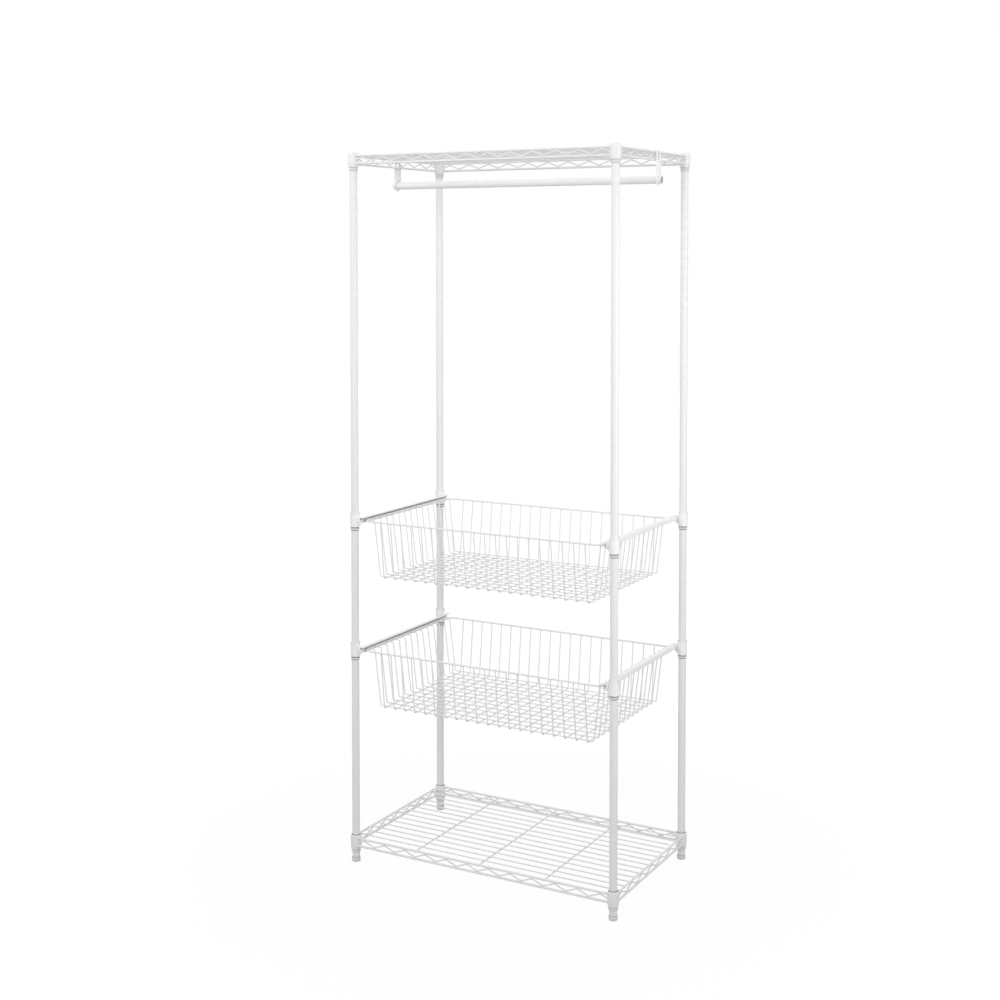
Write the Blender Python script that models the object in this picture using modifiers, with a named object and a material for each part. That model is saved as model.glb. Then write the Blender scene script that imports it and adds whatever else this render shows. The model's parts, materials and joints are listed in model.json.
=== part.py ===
"""Garment rack with two pull-out wire baskets, a hanging tube and two wire shelves.

Frame: +Z up, the front faces -Y, the long side lies along X. The feet stand on z = 0
and the posts are centred on the origin. Lengths are in metres.
"""

import math

import bmesh
import bpy
from mathutils import Matrix, Vector

# Driving dimensions of the whole rack
RACK_HEIGHT = 1.8
POST_SPACING_X = 0.72
POST_SPACING_Y = 0.414
FIT_GAP = 0.0003
ROUND_STEPS = 12
RIM_RESOLUTION = 1
THIN_WIRE_RESOLUTION = 0
CUT_OVERRUN = 0.004
MERGE_DISTANCE = 0.00002
SMOOTH_ANGLE = 35

# Posts, with the cap that closes each top
POST_RADIUS = 0.0095
POST_WALL = 0.0012
CAP_THICKNESS = 0.0026
CAP_EDGE = 0.0009
CAP_PLUG_LENGTH = 0.012

# Levelling feet and the threaded inserts in the post bottoms
FOOT_RADIUS = 0.0108
FOOT_HEIGHT = 0.012
FOOT_EDGE = 0.0022
STEM_RADIUS = 0.004
STEM_LENGTH = 0.034
INSERT_LENGTH = 0.015

# Split tapered sleeves between posts and collars
SLEEVE_TOP_WALL = 0.0007
SLEEVE_BOTTOM_WALL = 0.0011
SLEEVE_LIP = 0.0005
SLEEVE_DROP = 0.009
SLEEVE_RECESS = 0.0015
SLEEVE_SEAM = 0.0006

# Collars of the shelves and of the slide rails
COLLAR_HEIGHT = 0.036
SHELF_COLLAR_TOP_RADIUS = 0.0126
SHELF_COLLAR_BELLY_RADIUS = 0.0138
SHELF_COLLAR_FOOT_RADIUS = 0.012
BELLY_TOP_SHARE = 0.78
BELLY_FOOT_SHARE = 0.34
RAIL_COLLAR_RADIUS = 0.012
RAIL_COLLAR_LIP_RADIUS = 0.0129
RAIL_COLLAR_FLARE_HEIGHT = 0.004

# Heights of the collars' lower edges
BOTTOM_SHELF_LEVEL = 0.033
LOWER_RAIL_LEVEL = 0.528
UPPER_RAIL_LEVEL = 0.858
TOP_COLLAR_BELOW_TOP = 0.0015

# Wire shelves
RIM_WIRE_RADIUS = 0.00275
RIM_LOW_HEIGHT = 0.0095
RIM_WIRE_SPACING = 0.0195
RIM_OUTSET = 0.007
RIM_END_INSET = 0.006
TRUSS_WIRE_RADIUS = 0.0017
TRUSS_WAVES_X = 12
TRUSS_WAVES_Y = 7
MAT_WIRE_RADIUS = 0.0016
MAT_WIRE_COUNT = 14
MAT_RAISE = 0.001
CROSS_WIRE_RADIUS = 0.0019
CROSS_WIRE_COUNT = 3

# Wire baskets
BASKET_RIM_RADIUS = 0.0025
BASKET_RIM_LENGTH_Y = 0.411
BASKET_CORNER_RADIUS = 0.022
BASKET_CORNER_STEPS = 3
BASKET_DEPTH = 0.143
BASKET_WIRE_RADIUS = 0.0015
BASKET_FRONT_LEAN = 0.016
BASKET_SIDE_LEAN = 0.0174
BASKET_FLANGE = 0.02
FRONT_WIRE_COUNT = 20
FRONT_WIRE_END_INSET = 0.0515
SIDE_WIRE_COUNT = 14
FLOOR_EDGE_INSET = 0.005
WIRE_SINK = 0.0005

# Slide rails: a C-channel that opens towards the basket
RAIL_SHEET = 0.0015
RAIL_STANDOFF = 0.005
RIM_SIDE_PLAY = 0.0035
RIM_HEADROOM = 0.005
RIM_REST_WIDTH = 0.0037
RIM_ABOVE_COLLAR_FOOT = 0.0163
RAIL_OVERHANG = 0.005
TAB_WIDTH = 0.012
TAB_MARGIN = 0.001
GUSSET_THICKNESS = 0.0025
GUSSET_REACH = 0.004

# Hanging tube and its two strap brackets
TUBE_RADIUS = 0.0095
TUBE_WALL = 0.001
TUBE_OVERHANG = 0.008
TUBE_BELOW_RIM = 0.0667
STRAP_THICKNESS = 0.002
STRAP_WIDTH = 0.029
HOOK_FINGER_WIDTH = 0.008
HOOK_SLOT_WIDTH = 0.009
HOOK_SLOT_DEPTH = 0.024
HOOK_LEG = 0.007
HOOK_WELD_INSET = 0.0003

# Places that follow from the sizes above
POST_X = POST_SPACING_X / 2
POST_Y = POST_SPACING_Y / 2
POST_BOTTOM = FOOT_HEIGHT + FIT_GAP
POST_TOP = RACK_HEIGHT - CAP_THICKNESS - FIT_GAP
POST_BORE = POST_RADIUS - POST_WALL
TOP_SHELF_LEVEL = RACK_HEIGHT - TOP_COLLAR_BELOW_TOP - COLLAR_HEIGHT
SLEEVE_BORE = POST_RADIUS + FIT_GAP
SLEEVE_TOP_RADIUS = SLEEVE_BORE + SLEEVE_TOP_WALL
SLEEVE_BOTTOM_RADIUS = SLEEVE_BORE + SLEEVE_BOTTOM_WALL
RIM_X = POST_X + RIM_OUTSET
RIM_Y = POST_Y + RIM_OUTSET
RIM_HIGH_HEIGHT = RIM_LOW_HEIGHT + RIM_WIRE_SPACING
MAT_PITCH = 2 * RIM_Y / (MAT_WIRE_COUNT + 1)
RAIL_WEB_OUTER = POST_X - RAIL_COLLAR_RADIUS - RAIL_STANDOFF
RAIL_WEB_INNER = RAIL_WEB_OUTER - RAIL_SHEET
BASKET_RIM_X = RAIL_WEB_INNER - RIM_SIDE_PLAY - BASKET_RIM_RADIUS
BASKET_RIM_Y = BASKET_RIM_LENGTH_Y / 2
RAIL_LIP = BASKET_RIM_X - RIM_REST_WIDTH
RAIL_FLOOR = -BASKET_RIM_RADIUS - FIT_GAP
RAIL_BOTTOM = RAIL_FLOOR - RAIL_SHEET
RAIL_CEILING = BASKET_RIM_RADIUS + RIM_HEADROOM
RAIL_TOP = RAIL_CEILING + RAIL_SHEET
TUBE_HEIGHT = TOP_SHELF_LEVEL + RIM_HIGH_HEIGHT - TUBE_BELOW_RIM
STRAP_INNER_X = RIM_X + RIM_WIRE_RADIUS + FIT_GAP
STRAP_OUTER_X = STRAP_INNER_X + STRAP_THICKNESS
TUBE_Y = MAT_PITCH / 2

CORNERS = {
    "front_left": (-1, -1),
    "front_right": (1, -1),
    "rear_left": (-1, 1),
    "rear_right": (1, 1),
}


def clear_scene():
    for obj in list(bpy.data.objects):
        bpy.data.objects.remove(obj, do_unlink=True)


def new_collection(name):
    collection = bpy.data.collections.new(name)
    bpy.context.scene.collection.children.link(collection)
    return collection


def new_material(name, colour, roughness, metallic):
    material = bpy.data.materials.new(name)
    material.use_nodes = True
    shader = material.node_tree.nodes["Principled BSDF"]
    shader.inputs["Base Color"].default_value = (*colour, 1.0)
    shader.inputs["Roughness"].default_value = roughness
    shader.inputs["Metallic"].default_value = metallic
    material.diffuse_color = (*colour, 1.0)
    return material


clear_scene()
PARTS = new_collection("garment_rack")
CUTTERS = new_collection("cutters")
POST_COAT = new_material("post_coat", (0.86, 0.86, 0.85), 0.34, 0.0)
SHELF_COAT = new_material("shelf_coat", (0.87, 0.87, 0.86), 0.34, 0.0)
RAIL_COAT = new_material("rail_coat", (0.84, 0.84, 0.83), 0.36, 0.0)
BASKET_COAT = new_material("basket_coat", (0.88, 0.88, 0.87), 0.32, 0.0)
TUBE_COAT = new_material("tube_coat", (0.87, 0.87, 0.86), 0.28, 0.0)
SLEEVE_PLASTIC = new_material("sleeve_plastic", (0.78, 0.78, 0.77), 0.5, 0.0)
FOOT_PLASTIC = new_material("foot_plastic", (0.74, 0.74, 0.73), 0.55, 0.0)
CAP_PLASTIC = new_material("cap_plastic", (0.82, 0.82, 0.81), 0.5, 0.0)


def turned(name, profile, closed):
    """A body turned about Z. The profile's (radius, height) points run down its outer side."""
    mesh = bpy.data.meshes.new(name)
    count = len(profile)
    edges = [(i, i + 1) for i in range(count - 1)]
    if closed:
        edges.append((count - 1, 0))
    mesh.from_pydata([(radius, 0, height) for radius, height in profile], edges, [])
    obj = bpy.data.objects.new(name, mesh)
    CUTTERS.objects.link(obj)
    screw = obj.modifiers.new("turn", "SCREW")
    screw.steps = ROUND_STEPS
    screw.render_steps = ROUND_STEPS
    screw.use_merge_vertices = True
    screw.merge_threshold = MERGE_DISTANCE
    return obj


def wires(name, paths, radius, resolution=THIN_WIRE_RESOLUTION, cyclic=False):
    """Round wires along the given paths, as one curve with a spline for each."""
    curve = bpy.data.curves.new(name, "CURVE")
    curve.dimensions = "3D"
    curve.bevel_depth = radius
    curve.bevel_resolution = resolution
    curve.use_fill_caps = not cyclic
    for path in paths:
        spline = curve.splines.new("POLY")
        spline.points.add(len(path) - 1)
        for point, place in zip(spline.points, path):
            point.co = (*place, 1)
        spline.use_cyclic_u = cyclic
    obj = bpy.data.objects.new(name, curve)
    CUTTERS.objects.link(obj)
    return obj


def sheet(name, outlines, thickness, turn):
    """A flat plate with the given outlines, the first filled and the others cut out."""
    curve = bpy.data.curves.new(name, "CURVE")
    curve.dimensions = "2D"
    curve.fill_mode = "BOTH"
    curve.extrude = thickness / 2
    for outline in outlines:
        spline = curve.splines.new("POLY")
        spline.points.add(len(outline) - 1)
        for point, (across, up) in zip(spline.points, outline):
            point.co = (across, up, 0, 1)
        spline.use_cyclic_u = True
    obj = bpy.data.objects.new(name, curve)
    obj.matrix_world = turn
    CUTTERS.objects.link(obj)
    return obj


def baked(obj):
    """The object's evaluated mesh in world space, its caps welded. The object is removed."""
    bpy.context.view_layer.update()
    graph = bpy.context.evaluated_depsgraph_get()
    mesh = bpy.data.meshes.new_from_object(obj.evaluated_get(graph))
    work = bmesh.new()
    work.from_mesh(mesh)
    bmesh.ops.remove_doubles(work, verts=work.verts, dist=MERGE_DISTANCE)
    work.transform(obj.matrix_world)
    if obj.matrix_world.determinant() < 0:
        bmesh.ops.reverse_faces(work, faces=work.faces)
    work.to_mesh(mesh)
    work.free()
    mesh.materials.clear()
    bpy.data.objects.remove(obj, do_unlink=True)
    return mesh


def joined(name, placed):
    """One mesh of several, each given with the matrix that places it."""
    work = bmesh.new()
    for mesh, place in placed:
        copy = mesh.copy()
        copy.transform(place)
        work.from_mesh(copy)
        bpy.data.meshes.remove(copy)
    mesh = bpy.data.meshes.new(name)
    work.to_mesh(mesh)
    work.free()
    return mesh


def mirrored(mesh, axis):
    """A copy of the mesh reflected along one axis, its faces still pointing out."""
    copy = mesh.copy()
    scale = Matrix.Scale(-1, 4, axis)
    copy.transform(scale)
    copy.flip_normals()
    return copy


def tool(mesh, name):
    """A hidden body that a Boolean adds or cuts."""
    obj = bpy.data.objects.new(name, mesh)
    obj.hide_render = True
    obj.display_type = "WIRE"
    CUTTERS.objects.link(obj)
    return obj


def combine(obj, mesh, operation):
    name = f"{obj.name}_{operation.lower()}_{len(obj.modifiers)}"
    boolean = obj.modifiers.new(name, "BOOLEAN")
    boolean.solver = "EXACT"
    boolean.operation = operation
    boolean.object = tool(mesh, name)
    boolean.object.location = obj.location


def piece(name, mesh, material, place=(0, 0, 0)):
    """A part of the rack: its own object, with its own material."""
    obj = bpy.data.objects.new(name, mesh)
    obj.location = place
    if not mesh.materials:
        mesh.materials.append(material)
    mesh.shade_smooth()
    mesh.set_sharp_from_angle(angle=math.radians(SMOOTH_ANGLE))
    PARTS.objects.link(obj)
    return obj


def at_posts(reach_x=POST_X, reach_y=POST_Y):
    """The places of the four corners, by name."""
    return {name: (x * reach_x, y * reach_y) for name, (x, y) in CORNERS.items()}


def spread(count, reach):
    """Evenly spaced places from -reach to +reach."""
    return [reach * (2 * i / (count - 1) - 1) for i in range(count)]


def arc(centre, radius, start, end, steps):
    """Points along an arc, with its angles in degrees."""
    points = []
    for i in range(steps + 1):
        angle = math.radians(start + (end - start) * i / steps)
        across = centre[0] + radius * math.cos(angle)
        points.append((across, centre[1] + radius * math.sin(angle)))
    return points


def make_posts():
    mesh = baked(
        turned(
            "post",
            [
                (POST_RADIUS, POST_TOP),
                (POST_RADIUS, POST_BOTTOM),
                (POST_BORE, POST_BOTTOM),
                (POST_BORE, POST_TOP),
            ],
            True,
        )
    )
    for corner, (x, y) in at_posts().items():
        piece(f"post_{corner}", mesh, POST_COAT, (x, y, 0))


def make_post_caps():
    plug = POST_BORE - FIT_GAP
    flange_low = -CAP_THICKNESS
    mesh = baked(
        turned(
            "post_cap",
            [
                (0, 0),
                (POST_RADIUS - CAP_EDGE, 0),
                (POST_RADIUS, -CAP_EDGE),
                (POST_RADIUS, flange_low),
                (plug, flange_low),
                (plug, flange_low - CAP_PLUG_LENGTH),
                (0, flange_low - CAP_PLUG_LENGTH),
            ],
            False,
        )
    )
    for corner, (x, y) in at_posts().items():
        piece(f"post_cap_{corner}", mesh, CAP_PLASTIC, (x, y, RACK_HEIGHT))


def make_feet():
    foot = baked(
        turned(
            "levelling_foot",
            [
                (0, FOOT_HEIGHT + STEM_LENGTH),
                (STEM_RADIUS, FOOT_HEIGHT + STEM_LENGTH),
                (STEM_RADIUS, FOOT_HEIGHT),
                (FOOT_RADIUS, FOOT_HEIGHT),
                (FOOT_RADIUS, FOOT_EDGE),
                (FOOT_RADIUS - FOOT_EDGE, 0),
                (0, 0),
            ],
            False,
        )
    )
    insert_radius = POST_BORE - FIT_GAP
    stem_hole = STEM_RADIUS + FIT_GAP
    insert = baked(
        turned(
            "foot_insert",
            [
                (insert_radius, INSERT_LENGTH),
                (insert_radius, 0),
                (stem_hole, 0),
                (stem_hole, INSERT_LENGTH),
            ],
            True,
        )
    )
    for corner, (x, y) in at_posts().items():
        piece(f"levelling_foot_{corner}", foot, FOOT_PLASTIC, (x, y, 0))
        piece(f"foot_insert_{corner}", insert, CAP_PLASTIC, (x, y, POST_BOTTOM))


def sleeve_half(side):
    """Half of a tapered sleeve, from its seams towards side * Y. Its collar's foot is at z = 0."""
    lip_radius = SLEEVE_BOTTOM_RADIUS + SLEEVE_LIP
    top = COLLAR_HEIGHT - SLEEVE_RECESS
    ring = turned(
        "sleeve",
        [
            (SLEEVE_TOP_RADIUS, top),
            (SLEEVE_BOTTOM_RADIUS, -FIT_GAP),
            (lip_radius, -FIT_GAP),
            (lip_radius, -SLEEVE_DROP),
            (SLEEVE_BORE, -SLEEVE_DROP),
            (SLEEVE_BORE, top),
        ],
        True,
    )
    bpy.ops.mesh.primitive_cube_add(size=1)
    block = bpy.context.object
    reach = 2 * (lip_radius + CUT_OVERRUN)
    height = 2 * (COLLAR_HEIGHT + CUT_OVERRUN)
    block.data.transform(Matrix.Diagonal((reach, reach, height, 1)))
    block.data.transform(Matrix.Translation((0, side * (reach + SLEEVE_SEAM) / 2, 0)))
    halving = ring.modifiers.new("half", "BOOLEAN")
    halving.solver = "EXACT"
    halving.operation = "INTERSECT"
    halving.object = block
    mesh = baked(ring)
    bpy.data.objects.remove(block, do_unlink=True)
    return mesh


def make_sleeves():
    levels = {
        "bottom_shelf": BOTTOM_SHELF_LEVEL,
        "lower_rail": LOWER_RAIL_LEVEL,
        "upper_rail": UPPER_RAIL_LEVEL,
        "top_shelf": TOP_SHELF_LEVEL,
    }
    for half, side in {"front": -1, "back": 1}.items():
        mesh = sleeve_half(side)
        for level, height in levels.items():
            for corner, (x, y) in at_posts().items():
                name = f"{level}_sleeve_{corner}_{half}"
                piece(name, mesh, SLEEVE_PLASTIC, (x, y, height))


def collar_bore():
    """What is cut out of a collar: the sleeve's taper, a fit gap larger."""
    slope = (SLEEVE_BOTTOM_RADIUS - SLEEVE_TOP_RADIUS) / COLLAR_HEIGHT
    foot = SLEEVE_BOTTOM_RADIUS + FIT_GAP
    top = SLEEVE_TOP_RADIUS + FIT_GAP
    return baked(
        turned(
            "collar_bore",
            [
                (0, COLLAR_HEIGHT + CUT_OVERRUN),
                (top - slope * CUT_OVERRUN, COLLAR_HEIGHT + CUT_OVERRUN),
                (foot + slope * CUT_OVERRUN, -CUT_OVERRUN),
                (0, -CUT_OVERRUN),
            ],
            False,
        )
    )


def shelf_collar():
    return baked(
        turned(
            "shelf_collar",
            [
                (0, COLLAR_HEIGHT),
                (SHELF_COLLAR_TOP_RADIUS, COLLAR_HEIGHT),
                (SHELF_COLLAR_BELLY_RADIUS, COLLAR_HEIGHT * BELLY_TOP_SHARE),
                (SHELF_COLLAR_BELLY_RADIUS, COLLAR_HEIGHT * BELLY_FOOT_SHARE),
                (SHELF_COLLAR_FOOT_RADIUS, 0),
                (0, 0),
            ],
            False,
        )
    )


def rail_collar():
    return baked(
        turned(
            "rail_collar",
            [
                (0, COLLAR_HEIGHT),
                (RAIL_COLLAR_LIP_RADIUS, COLLAR_HEIGHT),
                (RAIL_COLLAR_RADIUS, COLLAR_HEIGHT - RAIL_COLLAR_FLARE_HEIGHT),
                (RAIL_COLLAR_RADIUS, 0),
                (0, 0),
            ],
            False,
        )
    )


def zigzag(reach, waves, low, high):
    """(along, height) points of a truss wire from -reach to +reach, starting low."""
    steps = 2 * waves
    return [(reach * (2 * i / steps - 1), high if i % 2 else low) for i in range(steps + 1)]


def rim_paths():
    end_x = POST_X - RIM_END_INSET
    end_y = POST_Y - RIM_END_INSET
    paths = []
    for height in (RIM_LOW_HEIGHT, RIM_HIGH_HEIGHT):
        for side in (-1, 1):
            y = side * RIM_Y
            x = side * RIM_X
            paths.append([(-end_x, y, height), (end_x, y, height)])
            paths.append([(x, -end_y, height), (x, end_y, height)])
    return paths


def truss_paths():
    clearance = RIM_WIRE_RADIUS + TRUSS_WIRE_RADIUS + FIT_GAP
    low = RIM_LOW_HEIGHT + clearance
    high = RIM_HIGH_HEIGHT - clearance
    front = clipped(zigzag(POST_X, TRUSS_WAVES_X, low, high), POST_X - RIM_END_INSET)
    side = clipped(zigzag(POST_Y, TRUSS_WAVES_Y, low, high), POST_Y - RIM_END_INSET)
    paths = []
    for sign in (-1, 1):
        paths.append([(along, sign * RIM_Y, height) for along, height in front])
        paths.append([(sign * RIM_X, along, height) for along, height in side])
    return paths


def clipped(points, reach):
    """The path with its first and last points drawn back to -reach and +reach."""
    first = Vector(points[1]).lerp(
        Vector(points[0]), (points[1][0] + reach) / (points[1][0] - points[0][0])
    )
    return [tuple(first), *points[1:-1], (-first[0], first[1])]


def mat_paths():
    height = RIM_HIGH_HEIGHT + MAT_RAISE
    reach = MAT_PITCH * (MAT_WIRE_COUNT - 1) / 2
    return [[(-RIM_X, y, height), (RIM_X, y, height)] for y in spread(MAT_WIRE_COUNT, reach)]


def cross_paths():
    mat_low = RIM_HIGH_HEIGHT + MAT_RAISE - MAT_WIRE_RADIUS
    height = mat_low - FIT_GAP - CROSS_WIRE_RADIUS
    pitch = POST_SPACING_X / (CROSS_WIRE_COUNT + 1)
    places = spread(CROSS_WIRE_COUNT, pitch * (CROSS_WIRE_COUNT - 1) / 2)
    return [[(x, -RIM_Y, height), (x, RIM_Y, height)] for x in places]


def make_shelves():
    """Collars, rim wires, trusses and mat welded to one piece, then bored for the sleeves."""
    places = [Matrix.Translation((x, y, 0)) for x, y in at_posts().values()]
    collar = shelf_collar()
    bore = collar_bore()
    for name, level in {"top_shelf": TOP_SHELF_LEVEL, "bottom_shelf": BOTTOM_SHELF_LEVEL}.items():
        collars = joined(f"{name}_collars", [(collar, place) for place in places])
        shelf = piece(name, collars, SHELF_COAT, (0, 0, level))
        rims = wires("rims", rim_paths(), RIM_WIRE_RADIUS, RIM_RESOLUTION)
        combine(shelf, baked(rims), "UNION")
        combine(shelf, baked(wires("trusses", truss_paths(), TRUSS_WIRE_RADIUS)), "UNION")
        combine(shelf, baked(wires("mat", mat_paths(), MAT_WIRE_RADIUS)), "UNION")
        combine(shelf, baked(wires("cross_wires", cross_paths(), CROSS_WIRE_RADIUS)), "UNION")
        bores = joined(f"{name}_bores", [(bore, place) for place in places])
        combine(shelf, bores, "DIFFERENCE")


def rail_channel():
    """The C-channel of a right-hand rail, along Y, at the height of the basket's rim."""
    outline = [
        (RAIL_LIP, RAIL_BOTTOM),
        (RAIL_WEB_OUTER, RAIL_BOTTOM),
        (RAIL_WEB_OUTER, RAIL_TOP),
        (RAIL_LIP, RAIL_TOP),
        (RAIL_LIP, RAIL_CEILING),
        (RAIL_WEB_INNER, RAIL_CEILING),
        (RAIL_WEB_INNER, RAIL_FLOOR),
        (RAIL_LIP, RAIL_FLOOR),
    ]
    length = 2 * (POST_Y + RAIL_OVERHANG)
    return baked(sheet("channel", [outline], length, Matrix.Rotation(math.pi / 2, 4, "X")))


def rail_joints():
    """The tab and the gusset that weld a right-hand channel to its two collars."""
    weld_x = POST_X - SLEEVE_BOTTOM_RADIUS
    web_middle = (RAIL_WEB_INNER + RAIL_WEB_OUTER) / 2
    collar_foot = -RIM_ABOVE_COLLAR_FOOT
    tab_low = RAIL_BOTTOM + TAB_MARGIN
    tab_high = RAIL_TOP - TAB_MARGIN
    tab = [(web_middle, tab_low), (weld_x, tab_low), (weld_x, tab_high), (web_middle, tab_high)]
    gusset = [
        (RAIL_WEB_OUTER - GUSSET_REACH, RAIL_FLOOR - RAIL_SHEET / 2),
        (RAIL_WEB_OUTER - GUSSET_REACH, RAIL_BOTTOM - TAB_MARGIN),
        (POST_X - RAIL_COLLAR_RADIUS, collar_foot + TAB_MARGIN),
        (weld_x, collar_foot + TAB_MARGIN),
        (weld_x, RAIL_FLOOR - RAIL_SHEET / 2),
    ]
    upright = Matrix.Rotation(math.pi / 2, 4, "X")
    places = [Matrix.Translation((0, y, 0)) for y in (-POST_Y, POST_Y)]
    tab_mesh = baked(sheet("tab", [tab], TAB_WIDTH, upright))
    gusset_mesh = baked(sheet("gusset", [gusset], GUSSET_THICKNESS, upright))
    tabs = joined("rail_tabs", [(tab_mesh, place) for place in places])
    gussets = joined("rail_gussets", [(gusset_mesh, place) for place in places])
    return tabs, gussets


def make_rails():
    """A channel and two collars, welded; left rails are the right ones mirrored."""
    collar = rail_collar()
    bore = collar_bore()
    places = [Matrix.Translation((POST_X, y, -RIM_ABOVE_COLLAR_FOOT)) for y in (-POST_Y, POST_Y)]
    channel = rail_channel()
    tabs, gussets = rail_joints()
    collars = joined("rail_collars", [(collar, place) for place in places])
    bores = joined("rail_bores", [(bore, place) for place in places])
    steps = ((collars, "UNION"), (tabs, "UNION"), (gussets, "UNION"), (bores, "DIFFERENCE"))
    for level_name, level in {"upper": UPPER_RAIL_LEVEL, "lower": LOWER_RAIL_LEVEL}.items():
        height = level + RIM_ABOVE_COLLAR_FOOT
        for side_name, turn in {"right": None, "left": "X"}.items():
            base = channel.copy() if turn is None else mirrored(channel, (1, 0, 0))
            rail = piece(f"{level_name}_rail_{side_name}", base, RAIL_COAT, (0, 0, height))
            for mesh, operation in steps:
                used = mesh.copy() if turn is None else mirrored(mesh, (1, 0, 0))
                combine(rail, used, operation)


def basket_rim_path():
    radius = BASKET_CORNER_RADIUS
    inner_x = BASKET_RIM_X - radius
    inner_y = BASKET_RIM_Y - radius
    points = []
    for quarter, (x, y) in enumerate(((1, 1), (-1, 1), (-1, -1), (1, -1))):
        start = 90 * quarter
        corner = arc((x * inner_x, y * inner_y), radius, start, start + 90, BASKET_CORNER_STEPS)
        points += [(*point, 0) for point in corner]
    return points


def both_walls(half):
    """A wire's whole path from the half that goes down one wall: across the floor and up again."""
    return [(-across, height) for across, height in half] + half[::-1]


def make_baskets():
    """Front wires run under side wires, a fit gap apart, and all weld to the rim.

    A side wire leaves the rim level, as a flange that clears the rail's lips, and then goes down.
    """
    floor = -BASKET_DEPTH
    front_foot = BASKET_RIM_Y - BASKET_FRONT_LEAN
    front = both_walls([(BASKET_RIM_Y, -WIRE_SINK), (front_foot, floor)])
    front_reach = BASKET_RIM_X - FRONT_WIRE_END_INSET
    front_paths = [[(x, y, z) for y, z in front] for x in spread(FRONT_WIRE_COUNT, front_reach)]
    wall_top = BASKET_RIM_X - BASKET_FLANGE
    side_foot = (wall_top - BASKET_SIDE_LEAN, floor + 2 * BASKET_WIRE_RADIUS + FIT_GAP)
    side = both_walls([(BASKET_RIM_X, 0), (wall_top, 0), side_foot])
    side_reach = front_foot - FLOOR_EDGE_INSET
    side_paths = [[(x, y, z) for x, z in side] for y in spread(SIDE_WIRE_COUNT, side_reach)]
    for level_name, level in {"upper": UPPER_RAIL_LEVEL, "lower": LOWER_RAIL_LEVEL}.items():
        path = [basket_rim_path()]
        rim = baked(wires("rim", path, BASKET_RIM_RADIUS, RIM_RESOLUTION, cyclic=True))
        height = level + RIM_ABOVE_COLLAR_FOOT
        basket = piece(f"{level_name}_basket", rim, BASKET_COAT, (0, 0, height))
        combine(basket, baked(wires("front_wires", front_paths, BASKET_WIRE_RADIUS)), "UNION")
        combine(basket, baked(wires("side_wires", side_paths, BASKET_WIRE_RADIUS)), "UNION")


def bracket_plate():
    """The strap in its own plane: (across, height) from the tube's axis, with two hook fingers."""
    half = STRAP_WIDTH / 2
    slot = HOOK_SLOT_WIDTH / 2
    finger = slot + HOOK_FINGER_WIDTH
    ceiling = TUBE_BELOW_RIM + RIM_WIRE_RADIUS + FIT_GAP
    top = ceiling + STRAP_THICKNESS + HOOK_WELD_INSET
    slot_foot = top - HOOK_SLOT_DEPTH
    right = [
        (half, slot_foot - (half - finger)),
        (finger, slot_foot),
        (finger, top),
        (slot, top),
        (slot, slot_foot),
    ]
    left = [(-across, height) for across, height in right[::-1]]
    foot = arc((0, 0), half, 180, 360, ROUND_STEPS // 2)
    hole = arc((0, 0), TUBE_RADIUS + FIT_GAP, 0, 360, ROUND_STEPS)[:-1]
    return [foot + right + left, hole]


def hook_outline():
    """(x, z) section of a hook finger's bend over the rim wire, measured from the tube's axis."""
    leg_outer = RIM_X - RIM_WIRE_RADIUS - FIT_GAP
    leg_inner = leg_outer - STRAP_THICKNESS
    ceiling = TUBE_BELOW_RIM + RIM_WIRE_RADIUS + FIT_GAP
    leg_foot = TUBE_BELOW_RIM - HOOK_LEG
    weld = (STRAP_INNER_X + STRAP_OUTER_X) / 2
    return [
        (leg_inner, leg_foot),
        (leg_outer, leg_foot),
        (leg_outer, ceiling),
        (weld, ceiling),
        (weld, ceiling + STRAP_THICKNESS),
        (leg_inner, ceiling + STRAP_THICKNESS),
    ]


def make_hanger():
    along_x = Matrix.Rotation(math.pi / 2, 4, "Y") @ Matrix.Rotation(math.pi / 2, 4, "Z")
    strap_x = (STRAP_INNER_X + STRAP_OUTER_X) / 2
    place = Matrix.Translation((strap_x, 0, 0)) @ along_x
    plate = baked(sheet("plate", bracket_plate(), STRAP_THICKNESS, place))
    hooks = []
    for side in (-1, 1):
        y = side * (HOOK_SLOT_WIDTH + HOOK_FINGER_WIDTH) / 2
        turn = Matrix.Translation((0, y, 0)) @ Matrix.Rotation(math.pi / 2, 4, "X")
        hook = sheet("hook", [hook_outline()], HOOK_FINGER_WIDTH - 2 * HOOK_WELD_INSET, turn)
        hooks.append((baked(hook), Matrix()))
    hook_pair = joined("hooks", hooks)
    for side_name, mirror in {"right": False, "left": True}.items():
        base = mirrored(plate, (1, 0, 0)) if mirror else plate.copy()
        name = f"tube_bracket_{side_name}"
        bracket = piece(name, base, TUBE_COAT, (0, TUBE_Y, TUBE_HEIGHT))
        combine(bracket, mirrored(hook_pair, (1, 0, 0)) if mirror else hook_pair.copy(), "UNION")
    reach = STRAP_OUTER_X + TUBE_OVERHANG
    bore = TUBE_RADIUS - TUBE_WALL
    ring = turned(
        "tube",
        [(TUBE_RADIUS, reach), (TUBE_RADIUS, -reach), (bore, -reach), (bore, reach)],
        True,
    )
    ring.matrix_world = Matrix.Rotation(math.pi / 2, 4, "Y")
    piece("hanging_tube", baked(ring), TUBE_COAT, (0, TUBE_Y, TUBE_HEIGHT))


make_posts()
make_post_caps()
make_feet()
make_sleeves()
make_shelves()
make_rails()
make_baskets()
make_hanger()
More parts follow.
